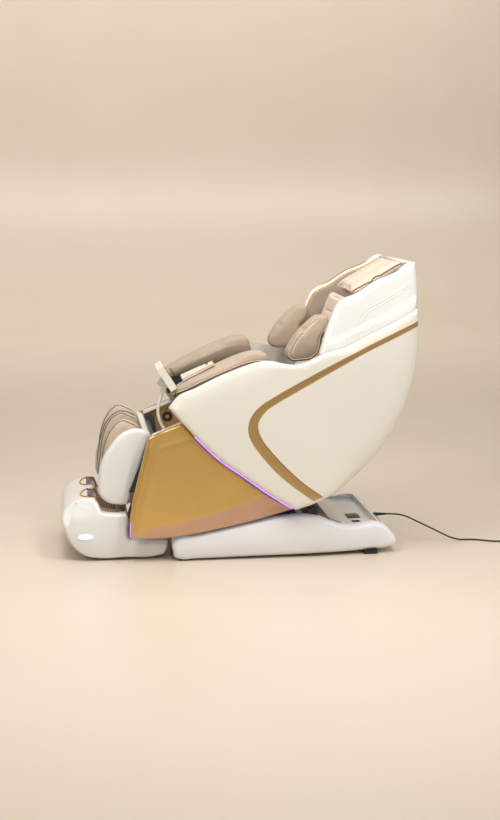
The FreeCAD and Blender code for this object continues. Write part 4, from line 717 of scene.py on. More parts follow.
wing_mesh = settle(panel_mesh("wing_left", wing_loop, wing_face, lambda place, deep: WING_BACK,
                              rows=(0.8, 2, 4, 7, 11, 16, 22, 30)), 3, WING_BACK + 9)
both_sides("wing", wing_mesh, "shell_ivory", "back",
           ("wing_shell_left", "wing_shell_right"))
print("wing triangles:", len(wing_mesh.polygons))

# %% [markdown]
# A brushed band bends round the wing like a boomerang. It is laid on the shell's own height rule, a
# little proud, so it follows the roll at both ends. The band's two edges are lines through a
# few points, and rows between them make its face.

# %% Wing stripe
STRIPE_OUTER = [(747, 1023), (680, 990), (521, 913), (360, 831), (215, 754), (130, 706), (82, 675), (46, 636),
                (31, 600), (31, 553), (46, 516), (75, 474), (165, 372), (240, 310), (306, 262)]
STRIPE_INNER = [(748, 999), (682, 966), (522, 888), (362, 801), (215, 719), (150, 682), (108, 654), (84, 626),
                (72, 600), (74, 566), (90, 530), (126, 482), (205, 396), (276, 332), (350, 279)]


def surface_of(mesh):
    """The mesh's faces, ready to be asked where a ray meets them or which point is nearest."""
    return BVHTree.FromPolygons([vertex.co for vertex in mesh.vertices], [face.vertices for face in mesh.polygons])


surface = surface_of(wing_mesh)


def on_wing(place, lift):
    hit = surface.ray_cast(Vector((0.6, place[0] * MM, place[1] * MM)), Vector((-1, 0, 0)))[0]
    if hit is None:
        near = surface.find_nearest(Vector((WING_FACE * MM, place[0] * MM, place[1] * MM)))[0]
        return Vector((near.x + lift * MM, near.y, near.z))
    return hit + Vector((lift * MM, 0, 0))


def band_mesh(name, outer, inner, profile, drop):
    """A strip between two lines: profile lists (share across, lift); its edges drop below."""
    count = min(len(outer), len(inner))
    outer = [outer[round(at * (len(outer) - 1) / (count - 1))] for at in range(count)]
    inner = [inner[round(at * (len(inner) - 1) / (count - 1))] for at in range(count)]
    corners, faces = [], []
    for a, b in zip(outer, inner):
        for share, lift in profile:
            corners.append(on_wing(a.lerp(b, share), lift))
        for share in (1.0, 0.0):
            corners.append(on_wing(a.lerp(b, share), -drop))
    width = len(profile) + 2
    for row in range(count - 1):
        for at in range(width):
            nxt = (at + 1) % width
            faces.append((row * width + at, row * width + nxt, (row + 1) * width + nxt, (row + 1) * width + at))
    faces += [tuple(range(width)), tuple(reversed(range((count - 1) * width, count * width)))]
    mesh = bpy.data.meshes.new(name)
    mesh.from_pydata(corners, [], faces)
    mesh.validate()
    return tidy(mesh)


stripe_profile = [(0.0, 0.15), (0.03, 0.7), (0.2, 1.0), (0.4, 1.0), (0.6, 1.0), (0.8, 1.0), (0.97, 0.7), (1.0, 0.15)]
stripe_mesh = band_mesh("wing_stripe", smooth_path(STRIPE_OUTER), smooth_path(STRIPE_INNER), stripe_profile, 1.2)
both_sides("wing_stripe", stripe_mesh, "stripe_bronze", "back")
print("stripe faces:", len(stripe_mesh.polygons))

# %% [markdown]
# ## Gold side panels
# Below the wing a satin panel carries the light. Its front edge has a bright rim and then a deep
# hollow, its lower band turns in under a curved crease, and a faint fold crosses the top. All
# three are distances from a line, so the height rule adds them up. On the real chair the lower band
# looks rosier because it faces the floor, so its faces get a second finish: a painted floor reflection.

# %% Side panels
PANEL = [(-467, 112), (-465, 180), (-461, 242), (-441, 330), (-414, 435), (-386, 543), (-310, 577), (-240, 602),
         (-171, 517), (-94, 443), (8, 368), (111, 292), (227, 219), (120, 190), (13, 164), (-90, 143),
         (-193, 124), (-347, 108)]
PANEL_SHARP = (0, 5, 7, 12)
PANEL_FACE = 362.0
PANEL_BACK = 338.5
LOWER_CREASE = [(-480, 128), (-457, 134), (-317, 168), (-200, 190), (-92, 218), (0, 247), (83, 280), (160, 320)]
TOP_FOLD = [(-400, 478), (-378, 486), (-300, 510), (-195, 541), (-150, 556)]
FRONT_LINE = [(-467, 90), (-465, 180), (-461, 242), (-441, 330), (-414, 435), (-386, 543), (-378, 575)]
crease_tree = distance_tree(smooth_path(LOWER_CREASE, 1.5))
fold_tree = distance_tree(smooth_path(TOP_FOLD, 1.5))
front_tree = distance_tree(smooth_path(FRONT_LINE, 1.5))
crease_line = smooth_path(LOWER_CREASE, 4)


def below_crease(place):
    """Millimetres under the lower crease, negative above it."""
    near = min(crease_line, key=lambda point: (point - Vector(place)).length_squared)
    return (1 if place[1] < near.y else -1) * away(crease_tree, place)


def panel_face(place, deep):
    x = PANEL_BACK + 2 + (PANEL_FACE - PANEL_BACK - 2) * rolled(deep, 7)
    under = below_crease(place)
    x -= 0.30 * max(0.0, under) + 0.8 * math.exp(-((under - 1) / 5) ** 2)
    front = away(front_tree, place)
    tall = ease((place[1] - 110) / 90)
    x -= tall * 11.5 * ease((front - 7) / 11) * (1 - ease((front - 20) / 34))
    x -= 1.6 * ease(1 - away(fold_tree, place) / 16) * ease((place[0] + 400) / 30)
    return max(PANEL_BACK + 1.5, x)


panel = panel_mesh("side_panel", smooth_loop(PANEL, 7, PANEL_SHARP), panel_face,
                   lambda place, deep: PANEL_BACK, rows=(0.8, 2, 4, 7, 10, 14, 18, 23, 29, 36), net=9)
gold_panels = both_sides("gold_panel", panel, "gold_satin", "seat",
                         ("side_panel_left", "side_panel_right"), 50)
# Faces under the lower crease get the second finish, a painted floor reflection.
for panel_piece in gold_panels:
    panel_piece.data.materials.append(finishes["gold_floor_reflection"])
    for face in panel_piece.data.polygons:
        middle = face.center / MM
        if below_crease((middle.y, middle.z)) > 0.5:
            face.material_index = 1
print("gold panel triangles:", len(panel.polygons))

# %% [markdown]
# ## Light strip
# The strip is a slim diffuser under the wing's crisp edge. A rod that follows the wing's own
# outline, pushed out by its radius, stays beside the edge all the way, where a rod drawn by eye
# would wander.

# %% Rods along a line
def frames_along(points, closed=False):
    """Position, sideways and upward directions at each point, turning as little as possible."""
    count = len(points)
    made = []
    side = None
    for at, point in enumerate(points):
        before = points[at - 1] if at or closed else point
        after = points[(at + 1) % count] if at < count - 1 or closed else point
        way = (after - before).normalized()
        if side is None:
            side = way.orthogonal().normalized()
        side = (side - way * side.dot(way)).normalized()
        made.append((point, side, way.cross(side)))
    return made


def rod_mesh(name, points, radius, sides=8, closed=False, flat=1.0, up=None):
    """A rod through points in metres; radius in millimetres; flat squeezes it along up."""
    corners, faces = [], []
    stations = frames_along(points, closed)
    for point, side, top in stations:
        if up:
            way = side.cross(top)
            top = (Vector(up) - way * way.dot(Vector(up))).normalized()
            side = top.cross(way)
        for number in range(sides):
            angle = math.tau * number / sides
            corners.append(point + (side * math.cos(angle) + top * math.sin(angle) * flat) * radius * MM)
    rows = len(points)
    for row in range(rows if closed else rows - 1):
        for at in range(sides):
            nxt, above = (at + 1) % sides, (row + 1) % rows
            faces.append((row * sides + at, row * sides + nxt, above * sides + nxt, above * sides + at))
    if not closed:
        faces += [tuple(reversed(range(sides))), tuple(range((rows - 1) * sides, rows * sides))]
    mesh = bpy.data.meshes.new(name)
    mesh.from_pydata([tuple(corner) for corner in corners], [], faces)
    mesh.validate()
    return tidy(mesh, 0.001)


def place3(x, points):
    """Side-view points in millimetres, set at one X."""
    return [Vector((x * MM, point[0] * MM, point[1] * MM)) for point in points]


edge = inset(wing_loop, -2.0)
LOWER_EDGE = [(-232, 589), (-167, 521), (-91, 447), (11, 372), (114, 296), (233, 221)]
lower_edge_tree = distance_tree(smooth_path(LOWER_EDGE))
strip_line = [point for point in edge
              if -192 < point.x < 222 and point.y < 545 and away(lower_edge_tree, point) < 8]
strip_line.sort(key=lambda point: point.x)
strip = rod_mesh("light_strip", place3(364.5, strip_line), 2.0, 8)
both_sides("light_strip", strip, "strip_violet", "seat", ("light_strips",))
corner_glow = rod_mesh("corner_light", place3(350, [(-466, 120), (-466, 150), (-465, 180)]), 1.2, 8)
both_sides("corner_light", corner_glow, "strip_violet", "seat")
print("light strip points:", len(strip_line))

# %% [markdown]
# ## Hood
# Two cheeks and a rear wall hold the head pillow. A cheek is a thick panel, rounded on both faces,
# with a long double chevron on its outer face, and both of its faces get a height
# rule. The chevron is a set of lines; along each a slim bead is laid on the face, sunk a little into it.

# %% Hood cheeks
CHEEK = [(337, 880), (350, 926), (381, 1018), (422, 1099), (494, 1136), (577, 1188), (660, 1222), (728, 1262),
         (742, 1262), (751, 1198), (755, 1130), (752, 1050), (650, 990), (540, 936), (439, 888), (345, 862)]
CHEEK_SHARP = (0, 8, 11)
CHEEK_FACE = 353.0
CHEEK_BACK = 302.0
CHEVRON = (
    ((726, 1178), (620, 1114), (512, 1046), (492, 1008), (470, 968)),
    ((722, 1164), (620, 1102), (522, 1038), (506, 1008), (492, 982)),
    ((492, 982), (600, 1040), (742, 1116)),
    ((452, 950), (580, 1014), (740, 1096)))
shelf_tree = distance_tree(smooth_path([(337, 905), (439, 938), (540, 986), (650, 1040), (752, 1098)], 1.5))


def cheek_face(place, deep):
    """A rounded face that flares out to meet the wing below the shelf line."""
    low = place[1] < 905 + (place[0] - 337) * 0.462
    flare = 1.0 if low else ease(1 - away(shelf_tree, place) / 30)
    front = ease((place[0] - 352) / 60)
    return CHEEK_FACE - 20 + 20 * rolled(deep, 26) + 9 * flare * front * min(1.0, deep / 8)


cheek = panel_mesh("hood_cheek", smooth_loop(CHEEK, 7, CHEEK_SHARP), cheek_face,
                   lambda place, deep: CHEEK_BACK + 8 - 8 * rolled(deep, 8),
                   rows=(0.8, 2, 4.5, 8, 12, 17, 23, 30), net=6.5)
both_sides("hood_cheek", cheek, "hood_gloss", "back", ("hood_shell",))
REAR = [(742, 1262), (751, 1198), (755, 1130), (751, 1076), (741, 1072), (744, 1130), (740, 1196), (731, 1256)]
rear_wall = loft_mesh("hood_rear", smooth_loop(REAR, 9, (0, 3, 4, 7)), 306, ((0, 0.5), (2, 0)))
add_piece("hood_rear", rear_wall, "hood_gloss", "back")
cheek_skin = surface_of(cheek)


def laid_on(surface, points, lift=0.0):
    """The points moved to the nearest place of a surface, then out by lift millimetres."""
    laid = []
    for point in points:
        place, normal = surface.find_nearest(point)[:2]
        laid.append(place + normal * lift * MM)
    return laid


for number, line in enumerate(CHEVRON):
    bead_line = laid_on(cheek_skin, place3(356, smooth_path(line, 5)), -0.6)
    both_sides(f"hood_crease_{number}", rod_mesh(f"hood_crease_{number}", bead_line, 2.3, 8, flat=0.8),
               "hood_gloss", "back", smooth_angle=80)
print("cheek triangles:", len(cheek.polygons))

# %% [markdown]
# Inside the cheeks runs a taupe lining with a gilt edge, and a brown band follows the hood's rim.
# They are thin panels and rods on the cheek's inner outline.

# %% Hood lining and trims
INNER = [(352, 900), (366, 955), (394, 1024), (432, 1092), (498, 1126), (580, 1178), (660, 1210), (726, 1246),
         (738, 1200), (744, 1130), (740, 1080), (650, 1032), (540, 978), (439, 930)]
lining_panel = panel_mesh("hood_lining", smooth_loop(INNER, 8, (0, 7)),
                          lambda place, deep: 303.0, lambda place, deep: 300 - 6 * rolled(deep, 9),
                          rows=(1, 3, 6, 10), net=14)
both_sides("hood_lining", lining_panel, "leather_taupe", "back")
trim_line = smooth_path([(352, 905), (366, 955), (394, 1024), (432, 1092), (498, 1126), (580, 1178),
                         (660, 1210), (724, 1245)], 6)
gilt = rod_mesh("hood_gilt", place3(300, trim_line), 5.0, 8, flat=0.45, up=(1, 0, 0))
both_sides("hood_gilt", gilt, "gold_satin", "back")
rim_line = [point + Vector((0, 3)) for point in smooth_path([(428, 1100), (494, 1135), (577, 1187), (660, 1221),
                                                            (720, 1254)], 6)]
band = rod_mesh("hood_rim_band", place3(322, [point - Vector((0, 2.5)) for point in rim_line]), 9, 10,
                flat=0.35, up=(0, -0.5, 0.86))
both_sides("hood_rim_band", band, "leather_brown", "back")

# %% [markdown]
# ## Base
# The base is one long glossy tub: round on its sides, narrower towards the rear, with a sunken
# pale deck behind the seat. It is lofted across the chair from the side outline, each
# outermost section a little smaller than the next, which gives the soft rim.

# %% Base tub
TUB = [(-284, 40), (-285, 86), (-274, 100), (-190, 115), (-90, 134), (13, 156), (120, 175), (215, 187), (290, 189),
       (340, 180), (402, 154), (450, 136), (498, 130), (560, 137), (596, 140), (640, 125), (672, 94), (694, 60),
       (694, 42), (672, 28), (560, 16), (300, 10), (0, 7), (-180, 5), (-262, 7), (-278, 16)]
tub_loop = smooth_loop(TUB, 9)
TUB_HALF = 333.5


def tub_width(point):
    """Share of the full width: the tub draws in towards its tail and under its flanks."""
    tail = ease((point[0] - 260) / 440)
    under = ease((46 - point[1]) / 46)
    return 1 - 0.085 * tail - 0.03 * under


SOFT_RIM = ((0, 22), (1.5, 16), (5, 10), (10, 5.5), (17, 2), (26, 0.4), (38, 0), (60, 0))
tub = loft_mesh("base_tub", tub_loop, TUB_HALF, SOFT_RIM, tub_width)
tub = carve(tub, "base_tub", [Vector(point) for point in (
    (-264, 33), (-264, 260), (428, 260), (428, 33))], -296, 296)
DECK_FLOOR = 117.5
deck_cut = smooth_loop([(424, DECK_FLOOR), (424, 220), (640, 220), (606, DECK_FLOOR)], 20, (0, 1, 2, 3))
tub = carve(tub, "base_tub", deck_cut, -268, 268)
add_piece("base_tub", tub, "base_gloss", "base", 32)
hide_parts("base_shell", "base_deck")
deck_loop = smooth_loop([(428, DECK_FLOOR - 6), (426, DECK_FLOOR + 3), (430, DECK_FLOOR + 4.5), (520, DECK_FLOOR + 3),
                         (590, DECK_FLOOR + 3), (604, DECK_FLOOR + 1), (604, DECK_FLOOR - 6)], 10, (0, 6))
deck = loft_mesh("rear_deck", deck_loop, 267, ((0, 1), (2, 0), (8, 0)))
housing_low, housing_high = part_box("switch_housing")
deck = carve(deck, "rear_deck", [Vector((y / MM, z)) for y, z in (
    (housing_low.y, 90), (housing_low.y, 160), (housing_high.y, 160), (housing_high.y, 90))],
    housing_low.x / MM, housing_high.x / MM)
add_piece("rear_deck", deck, "deck_pale", "base", 35)
plate = loft_mesh("rating_plate", smooth_loop([(508, 121), (508, 122.6), (566, 122.6), (566, 121)], 20, (0, 1, 2, 3)),
                  42, ((0, 0.3), (0.6, 0)))
plate.transform(Matrix.Translation((95 * MM, 0, -0.2 * MM)))
add_piece("deck_plate", plate, "black_moulded", "base")
accent = rod_mesh("rim_accent", place3(281, smooth_path([(300, 190.5), (344, 181), (402, 156), (450, 138.5)], 8)),
                  2.0, 8)
both_sides("rim_accent", accent, "stripe_bronze", "base")
print("base faces:", len(tub.polygons))

# %% [markdown]
# ## Foot box
# The foot box is a smooth pebble with two wells. Above a line that runs back from the toe, its
# flanks lean in, so the loft's width depends on the height over that line. The wells are cut
# out with rounded outlines, then ringed with a rose-gilt bead.

# %% Foot box
FOOT = [(-302, 80), (-306, 44), (-320, 20), (-350, 11), (-480, 9), (-600, 9), (-655, 20), (-698, 52), (-724, 92),
        (-742, 140), (-752, 182), (-745, 212), (-722, 236), (-688, 254), (-650, 265), (-614, 266), (-596, 246),
        (-580, 214), (-545, 206), (-480, 205), (-474, 198), (-474, 120), (-470, 92), (-456, 84)]
FLANK_TOE, FLANK_HEEL = -740.0, -458.0
FLANK_LINE_TOE, FLANK_LINE_SLOPE = 149, 0.24
foot_loop = smooth_loop(FOOT, 8, (0, 19, 23))


def foot_width(point):
    y = min(FLANK_HEEL, max(FLANK_TOE, point[0]))
    over = max(0.0, point[1] - FLANK_LINE_TOE - (y - FLANK_TOE) * FLANK_LINE_SLOPE)
    nose = ease((-600 - point[0]) / 170)
    return (1 - 0.20 * ease(over / 90) * (0.5 + 0.5 * nose) - 0.07 * nose * ease((120 - point[1]) / 110)
            - 0.02 * ease((60 - point[1]) / 60))


foot = loft_mesh("foot_box", foot_loop, 279.5, ((0, 15), (1.5, 10), (5, 6), (11, 2.6), (20, 0.6), (32, 0)), foot_width)
WELL = [(-504, 330), (-504, 96), (-520, 86), (-612, 86), (-632, 106), (-640, 150), (-642, 200), (-636, 330)]
well_loop = smooth_loop(WELL, 12, (0, 7))
for low, high in ((26, 222), (-222, -26)):
    foot = carve(foot, "foot_box", well_loop, low, high)
TUNNEL = [(-622, 46), (-570, 46), (-570, 100), (-622, 100)]
foot = carve(foot, "foot_box", [Vector(point) for point in TUNNEL], -222, 222)
foot_shell = add_piece("foot_shell", foot, "hood_gloss", "foot", 32)
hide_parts("foot_box")
LAMP = (-652, 109)
for side, sign in (("left", 1), ("right", -1)):
    work = bmesh.new()
    bmesh.ops.create_uvsphere(work, u_segments=36, v_segments=18, radius=1)
    for vertex in work.verts:
        share = foot_width(LAMP)
        x = sign * (279.5 * share - 0.8 + 3.4 * vertex.co.z)
        vertex.co = Vector((x * MM, (LAMP[0] + 31 * vertex.co.x) * MM, (LAMP[1] + 10.5 * vertex.co.y) * MM))
    bmesh.ops.recalc_face_normals(work, faces=work.faces)
    lens_mesh = bpy.data.meshes.new(f"foot_lamp_{side}")
    work.to_mesh(lens_mesh)
    work.free()
    lens_piece = add_piece(f"foot_lens_{side}", lens_mesh, "lamp_ice", "foot")
    if sign > 0:
        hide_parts("foot_lamps")
print("foot box faces:", len(foot.polygons))

# %% [markdown]
# ## Calf shell
# The calf unit's outer shell is a deep arch, open at the front and below where the legs lie. The
# loft gives its rounded flanks, and one cut makes the open channel between them.

# %% Calf shell
CALF = [(-366, 532), (-386, 486), (-420, 385), (-468, 238), (-512, 238), (-563, 252), (-592, 286), (-596, 330),
        (-590, 390), (-570, 450), (-541, 494), (-512, 530), (-478, 554), (-437, 565), (-398, 560), (-376, 550)]
calf_loop = smooth_loop(CALF, 8, (0, 3))
calf = loft_mesh("calf_shell", calf_loop, 261.5, ((0, 17), (2, 11), (6, 6), (12, 2.4), (20, 0.5), (30, 0)))
CHANNEL = [(-392, 680), (-412, 486), (-445, 385), (-494, 240), (-500, 150), (-680, 150), (-680, 680)]
calf = carve(calf, "calf_shell", [Vector(point) for point in CHANNEL], -236, 236)
add_piece("calf_arch", calf, "hood_gloss", "leg", 35)
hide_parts("calf_shell")
print("calf shell faces:", len(calf.polygons))

# %% [markdown]
# ## Padding
# Every cushion is foam in a leather cover, so it is fullest in the middle and pulled in at its
# seams. A plain block can be rounded by hand, but cloth under pressure finds that shape by
# itself: the block is remeshed evenly, blown up for a few frames with no gravity, and held
# by a cap on how far a point may move. Seams are pressed in afterwards, where the mesh is fine.

# %% Blow up, soften and press
def baked(source):
    """A plain mesh of an object as its modifiers leave it; the object is removed."""
    depsgraph = bpy.context.evaluated_depsgraph_get()
    depsgraph.update()
    mesh = bpy.data.meshes.new_from_object(source.evaluated_get(depsgraph))
    bpy.data.objects.remove(source)
    return mesh


def swell(mesh, cap, voxel=6.0, pressure=4.0, frames=20):
    source = bpy.data.objects.new("even_shape", mesh)
    scene.collection.objects.link(source)
    even = source.modifiers.new("even", "REMESH")
    even.mode = "VOXEL"
    even.voxel_size = voxel * MM
    mesh = baked(source)
    start = [vertex.co.copy() for vertex in mesh.vertices]
    source = bpy.data.objects.new("swelling", mesh)
    scene.collection.objects.link(source)
    cloth = source.modifiers.new("cloth", "CLOTH")
    cloth.settings.use_pressure = True
    cloth.settings.uniform_pressure_force = pressure
    cloth.settings.effector_weights.gravity = 0
    cloth.settings.quality = 4
    cloth.point_cache.frame_start = 1
    cloth.point_cache.frame_end = frames
    for frame in range(1, frames + 1):
        scene.frame_set(frame)
        bpy.context.view_layer.update()
    mesh = baked(source)
    scene.frame_set(1)
    for vertex, begin in zip(mesh.vertices, start):
        move = vertex.co - begin
        if move.length > cap * MM:
            vertex.co = begin + move.normalized() * cap * MM
    work = bmesh.new()
    work.from_mesh(mesh)
    for _ in range(3):
        bmesh.ops.smooth_vert(work, verts=work.verts, factor=0.5, use_axis_x=True, use_axis_y=True, use_axis_z=True)
    work.to_mesh(mesh)
    work.free()
    source = bpy.data.objects.new("finer", mesh)
    scene.collection.objects.link(source)
    finer = source.modifiers.new("finer", "SUBSURF")
    finer.levels = finer.render_levels = 1
    return baked(source)


def press(mesh, groove):
    """Move each point inwards by groove(x, y, z, normal), all in millimetres."""
    normals = [vertex.normal.copy() for vertex in mesh.vertices]
    for vertex, normal in zip(mesh.vertices, normals):
        x, y, z = (value / MM for value in vertex.co)
        vertex.co -= normal * groove(x, y, z, normal) * MM
    mesh.update()
    return mesh


def notch(distance, width):
    """A soft V: 1 on the seam, nothing a few widths away."""
    return math.exp(-(distance / width) ** 2)


def pad_mesh(name, outline, x_low, x_high, sharp=(), shrink=3.0, rim=14.0):
    half = (x_high - x_low) / 2
    rims = ((0, rim * 0.75), (rim * 0.2, rim * 0.35), (rim * 0.55, rim * 0.08), (rim, 0), (rim * 1.8, 0))
    mesh = loft_mesh(name, inset(smooth_loop(outline, 7, sharp), shrink), half - shrink, rims)
    mesh.transform(Matrix.Translation(((x_low + x_high) / 2 * MM, 0, 0)))
    return mesh


# %% [markdown]
# Stitches, grip ribs and massage knobs all repeat along a line, so one Geometry Nodes tree makes
# them: it spreads points at an even pitch, sets a small rounded bar on each, turned along
# the line, makes them real and gives them their finish. Only its inputs change from seam to seam.

# %% Repeating pieces along a line
def repeat_tree():
    tree = bpy.data.node_groups.new("repeat_on_line", "GeometryNodeTree")
    face = tree.interface
    face.new_socket("Line", in_out="INPUT", socket_type="NodeSocketGeometry")
    for label in ("Pitch", "Length", "Width", "Height"):
        face.new_socket(label, in_out="INPUT", socket_type="NodeSocketFloat")
    face.new_socket("Finish", in_out="INPUT", socket_type="NodeSocketMaterial")
    face.new_socket("Pieces", in_out="OUTPUT", socket_type="NodeSocketGeometry")
    nodes, links = tree.nodes, tree.links
    given, made = nodes.new("NodeGroupInput"), nodes.new("NodeGroupOutput")
    to_curve = nodes.new("GeometryNodeMeshToCurve")
    spread = nodes.new("GeometryNodeCurveToPoints")
    spread.mode = "LENGTH"
    ball = nodes.new("GeometryNodeMeshUVSphere")
    ball.inputs["Segments"].default_value = 6
    ball.inputs["Rings"].default_value = 4
    ball.inputs["Radius"].default_value = 0.5
    size = nodes.new("ShaderNodeCombineXYZ")
    place = nodes.new("GeometryNodeInstanceOnPoints")
    real = nodes.new("GeometryNodeRealizeInstances")
    paint = nodes.new("GeometryNodeSetMaterial")
    for start, name, end, into in (
            (given, "Line", to_curve, "Mesh"), (to_curve, "Curve", spread, "Curve"),
            (given, "Pitch", spread, "Length"), (given, "Width", size, "X"), (given, "Height", size, "Y"),
            (given, "Length", size, "Z"), (spread, "Points", place, "Points"), (ball, "Mesh", place, "Instance"),
            (spread, "Rotation", place, "Rotation"), (size, "Vector", place, "Scale"),
            (place, "Instances", real, "Geometry"), (real, "Geometry", paint, "Geometry"),
            (given, "Finish", paint, "Material"), (paint, "Geometry", made, "Pieces")):
        links.new(start.outputs[name], end.inputs[into])
    return tree


repeats = repeat_tree()


def repeat_mesh(name, lines, pitch, length, width, height, finish):
    """Small rounded bars along lines of points in metres; the sizes are in millimetres."""
    corners, edges = [], []
    for line in lines:
        first = len(corners)
        corners += [tuple(point) for point in line]
        edges += [(first + at, first + at + 1) for at in range(len(line) - 1)]
    wire = bpy.data.meshes.new(name + "_line")
    wire.from_pydata(corners, edges, [])
    carrier = bpy.data.objects.new(name + "_line", wire)
    scene.collection.objects.link(carrier)
    maker = carrier.modifiers.new("repeat", "NODES")
    maker.node_group = repeats
    for item in repeats.interface.items_tree:
        if item.in_out == "INPUT" and item.name != "Line":
            maker[item.identifier] = {"Pitch": pitch * MM, "Length": length * MM, "Width": width * MM,
                                      "Height": height * MM, "Finish": finishes[finish]}[item.name]
    mesh = baked(carrier)
    mesh.name = name
    return mesh


def stitch(name, lines, body, finish="thread_cream", pitch=5.0, length=3.4, width=1.0, height=0.8):
    mesh = repeat_mesh(name, lines, pitch, length, width, height, finish)
    return add_piece(name, mesh, None, body)


def turned_over(points):
    return [Vector((-point.x, point.y, point.z)) for point in points]


def pair_of(name, mesh, finish, body, nodes=()):
    pieces = both_sides(name, mesh, finish, body, nodes, 60)
    return pieces


# %% [markdown]
# ## Seat cushion
# The seat is one broad cushion with a sunk middle between two thigh bolsters. Its cover has cross
# channels in the middle and a seam along each bolster.

# %% Seat cushion
SEAT_SIDE = [(-256, 411), (-261, 440), (-254, 462), (-236, 477), (-120, 468), (0, 459), (100, 449), (128, 440),
             (134, 428), (134, 411)]
seat_mesh = swell(pad_mesh("seat_pad", SEAT_SIDE, -233, 233, (0, 9), 4, 16), 9)
BOLSTER_SEAM = 138.0
SEAT_CHANNELS = (-205, -140, -75, -10, 55)


def seat_groove(x, y, z, normal):
    if normal.z < 0.2 and normal.y > -0.6:
        return 0.0
    depth = 5.0 * notch(abs(x) - BOLSTER_SEAM, 4.5) + 5.0 * ease(1 - abs(x) / 120)
    if abs(x) < BOLSTER_SEAM:
        depth += 4.0 * max(notch(y - line, 4.5) for line in SEAT_CHANNELS)
    return depth


press(seat_mesh, seat_groove)
seat_piece = add_piece("seat_pad", seat_mesh, "leather_cream", "seat", 60)
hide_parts("seat_cushion")
seat_skin = surface_of(seat_mesh)
seams = []
for sign in (1, -1):
    for aside in (-3, 3):
        seams.append(laid_on(seat_skin, [Vector((sign * (BOLSTER_SEAM + aside) * MM, y * MM, 0.49))
                                         for y in range(-235, 106, 6)], 0.2))
stitch("seat_stitches", seams, "seat", "piping_light")
print("seat cushion:", len(seat_mesh.polygons), "faces")

# %% [markdown]
# ## Back cushion
# The long back pad leans with the frame. It is sewn into cross channels over the massage rollers,
# between two plain side bolsters.

# %% Back cushion
BACK_SIDE = [(153, 472), (205, 566), (268, 680), (330, 790), (390, 900), (444, 1010), (470, 1076), (484, 1110),
             (502, 1108), (518, 1092), (503, 1040), (482, 990), (428, 880), (368, 770), (300, 650), (240, 545),
             (188, 454), (165, 456)]
back_mesh = swell(pad_mesh("back_pad", BACK_SIDE, -211, 211, (), 3, 15), 8, 6.5)
CHANNEL_PITCH = 62.0


def back_groove(x, y, z, normal):
    if normal.y > -0.1:
        return 0.0
    depth = 5.5 * notch(abs(x) - 122, 4.5)
    if abs(x) < 122:
        along = (z - 470) % CHANNEL_PITCH
        depth += 5.0 * notch(min(along, CHANNEL_PITCH - along), 5.0)
    return depth


press(back_mesh, back_groove)
back_piece = add_piece("back_pad", back_mesh, "leather_cream", "back", 60)
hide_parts("back_cushion")
print("back cushion:", len(back_mesh.polygons), "faces")

# %% [markdown]
# ## Pillow
# The head pillow is a thick flap of two lobes with sewn channels round each, and brown piping
# along its sides. It lies on the back pad's upper end and follows the flip joint.

# %% Pillow
PILLOW_SIDE = [(497, 1131), (515, 1146), (550, 1166), (588, 1187), (645, 1219), (700, 1248), (728, 1259), (737, 1254),
               (736, 1238), (690, 1201), (640, 1162), (595, 1131), (552, 1106), (520, 1112)]
pillow_mesh = swell(pad_mesh("head_pillow", PILLOW_SIDE, -178, 178, (), 2.5, 12), 9, 5)


def pillow_groove(x, y, z, normal):
    if normal.z < 0.15:
        return 0.0
    lobe = abs(abs(x) - 90)
    ring = math.hypot(lobe / 78, (y - 612) / 108)
    return 7.0 * notch(x, 7.0) + 3.2 * notch((ring - 0.62) * 80, 4.0) + 3.0 * notch((ring - 0.96) * 80, 4.0)


press(pillow_mesh, pillow_groove)
pillow_piece = add_piece("head_pillow", pillow_mesh, "leather_cream", "pillow", 60)
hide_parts("pillow")
pillow_skin = surface_of(pillow_mesh)
edge_lines = []
for x in (179, -179):
    edge_lines.append(laid_on(pillow_skin, [Vector((x * MM, point.x * MM, point.y * MM)) for point in smooth_path(
        [(505, 1136), (550, 1164), (588, 1185), (645, 1217), (700, 1246), (730, 1256)], 6)], 0.6))
for name, line in zip(("left", "right"), edge_lines):
    add_piece(f"pillow_piping_{name}", rod_mesh(f"pillow_piping_{name}", line, 3.0, 8), "leather_brown", "pillow")
print("pillow:", len(pillow_mesh.polygons), "faces")

# %% [markdown]
# ## Shoulder pads
# Each shoulder pad has a front panel and a side panel, joined along a seam with light piping
# on both sides. One is simulated and its mirror image serves the other shoulder.

# %% Shoulder pads
SHOULDER_SIDE = [(334, 1043), (300, 1018), (270, 990), (243, 961), (218, 924), (200, 888), (205, 858), (226, 843),
                 (270, 841), (313, 848), (346, 874), (368, 940), (392, 1012), (386, 1032), (362, 1043)]
shoulder_mesh = swell(pad_mesh("shoulder_pad", SHOULDER_SIDE, 217, 294, (), 3, 18), 10, 5)
FOLD = [(340, 1030), (300, 995), (266, 958), (240, 920), (226, 888), (232, 862)]
fold_tree = distance_tree(smooth_path(FOLD, 2))


def shoulder_groove(x, y, z, normal):
    outer = max(0.0, normal.x)
    return outer * 3.0 * notch(away(fold_tree, (y, z)), 3.5)


press(shoulder_mesh, shoulder_groove)
pair_of("shoulder_pad", shoulder_mesh, "leather_taupe", "back", ("shoulder_pads",))
shoulder_skin = surface_of(shoulder_mesh)
outline = inset(smooth_loop(SHOULDER_SIDE, 5), 7)
pipes = []
for shift in (-3.0, 3.0):
    pipes.append(laid_on(shoulder_skin, [Vector((0.306, (point.x + shift) * MM, (point.y - shift * 0.5) * MM))
                                         for point in smooth_path(FOLD, 5)], 0.4))
rim_pipe = laid_on(shoulder_skin, [Vector((0.304, point.x * MM, point.y * MM)) for point in outline], 0.4)
for number, line in enumerate(pipes):
    pair_of(f"shoulder_piping_{number}", rod_mesh(f"shoulder_piping_{number}", line, 1.7, 6), "piping_light", "back")
pair_of("shoulder_rim_piping", rod_mesh("shoulder_rim_piping", rim_pipe, 1.6, 6, closed=True), "piping_light",
        "back")
print("shoulder pad:", len(shoulder_mesh.polygons), "faces")

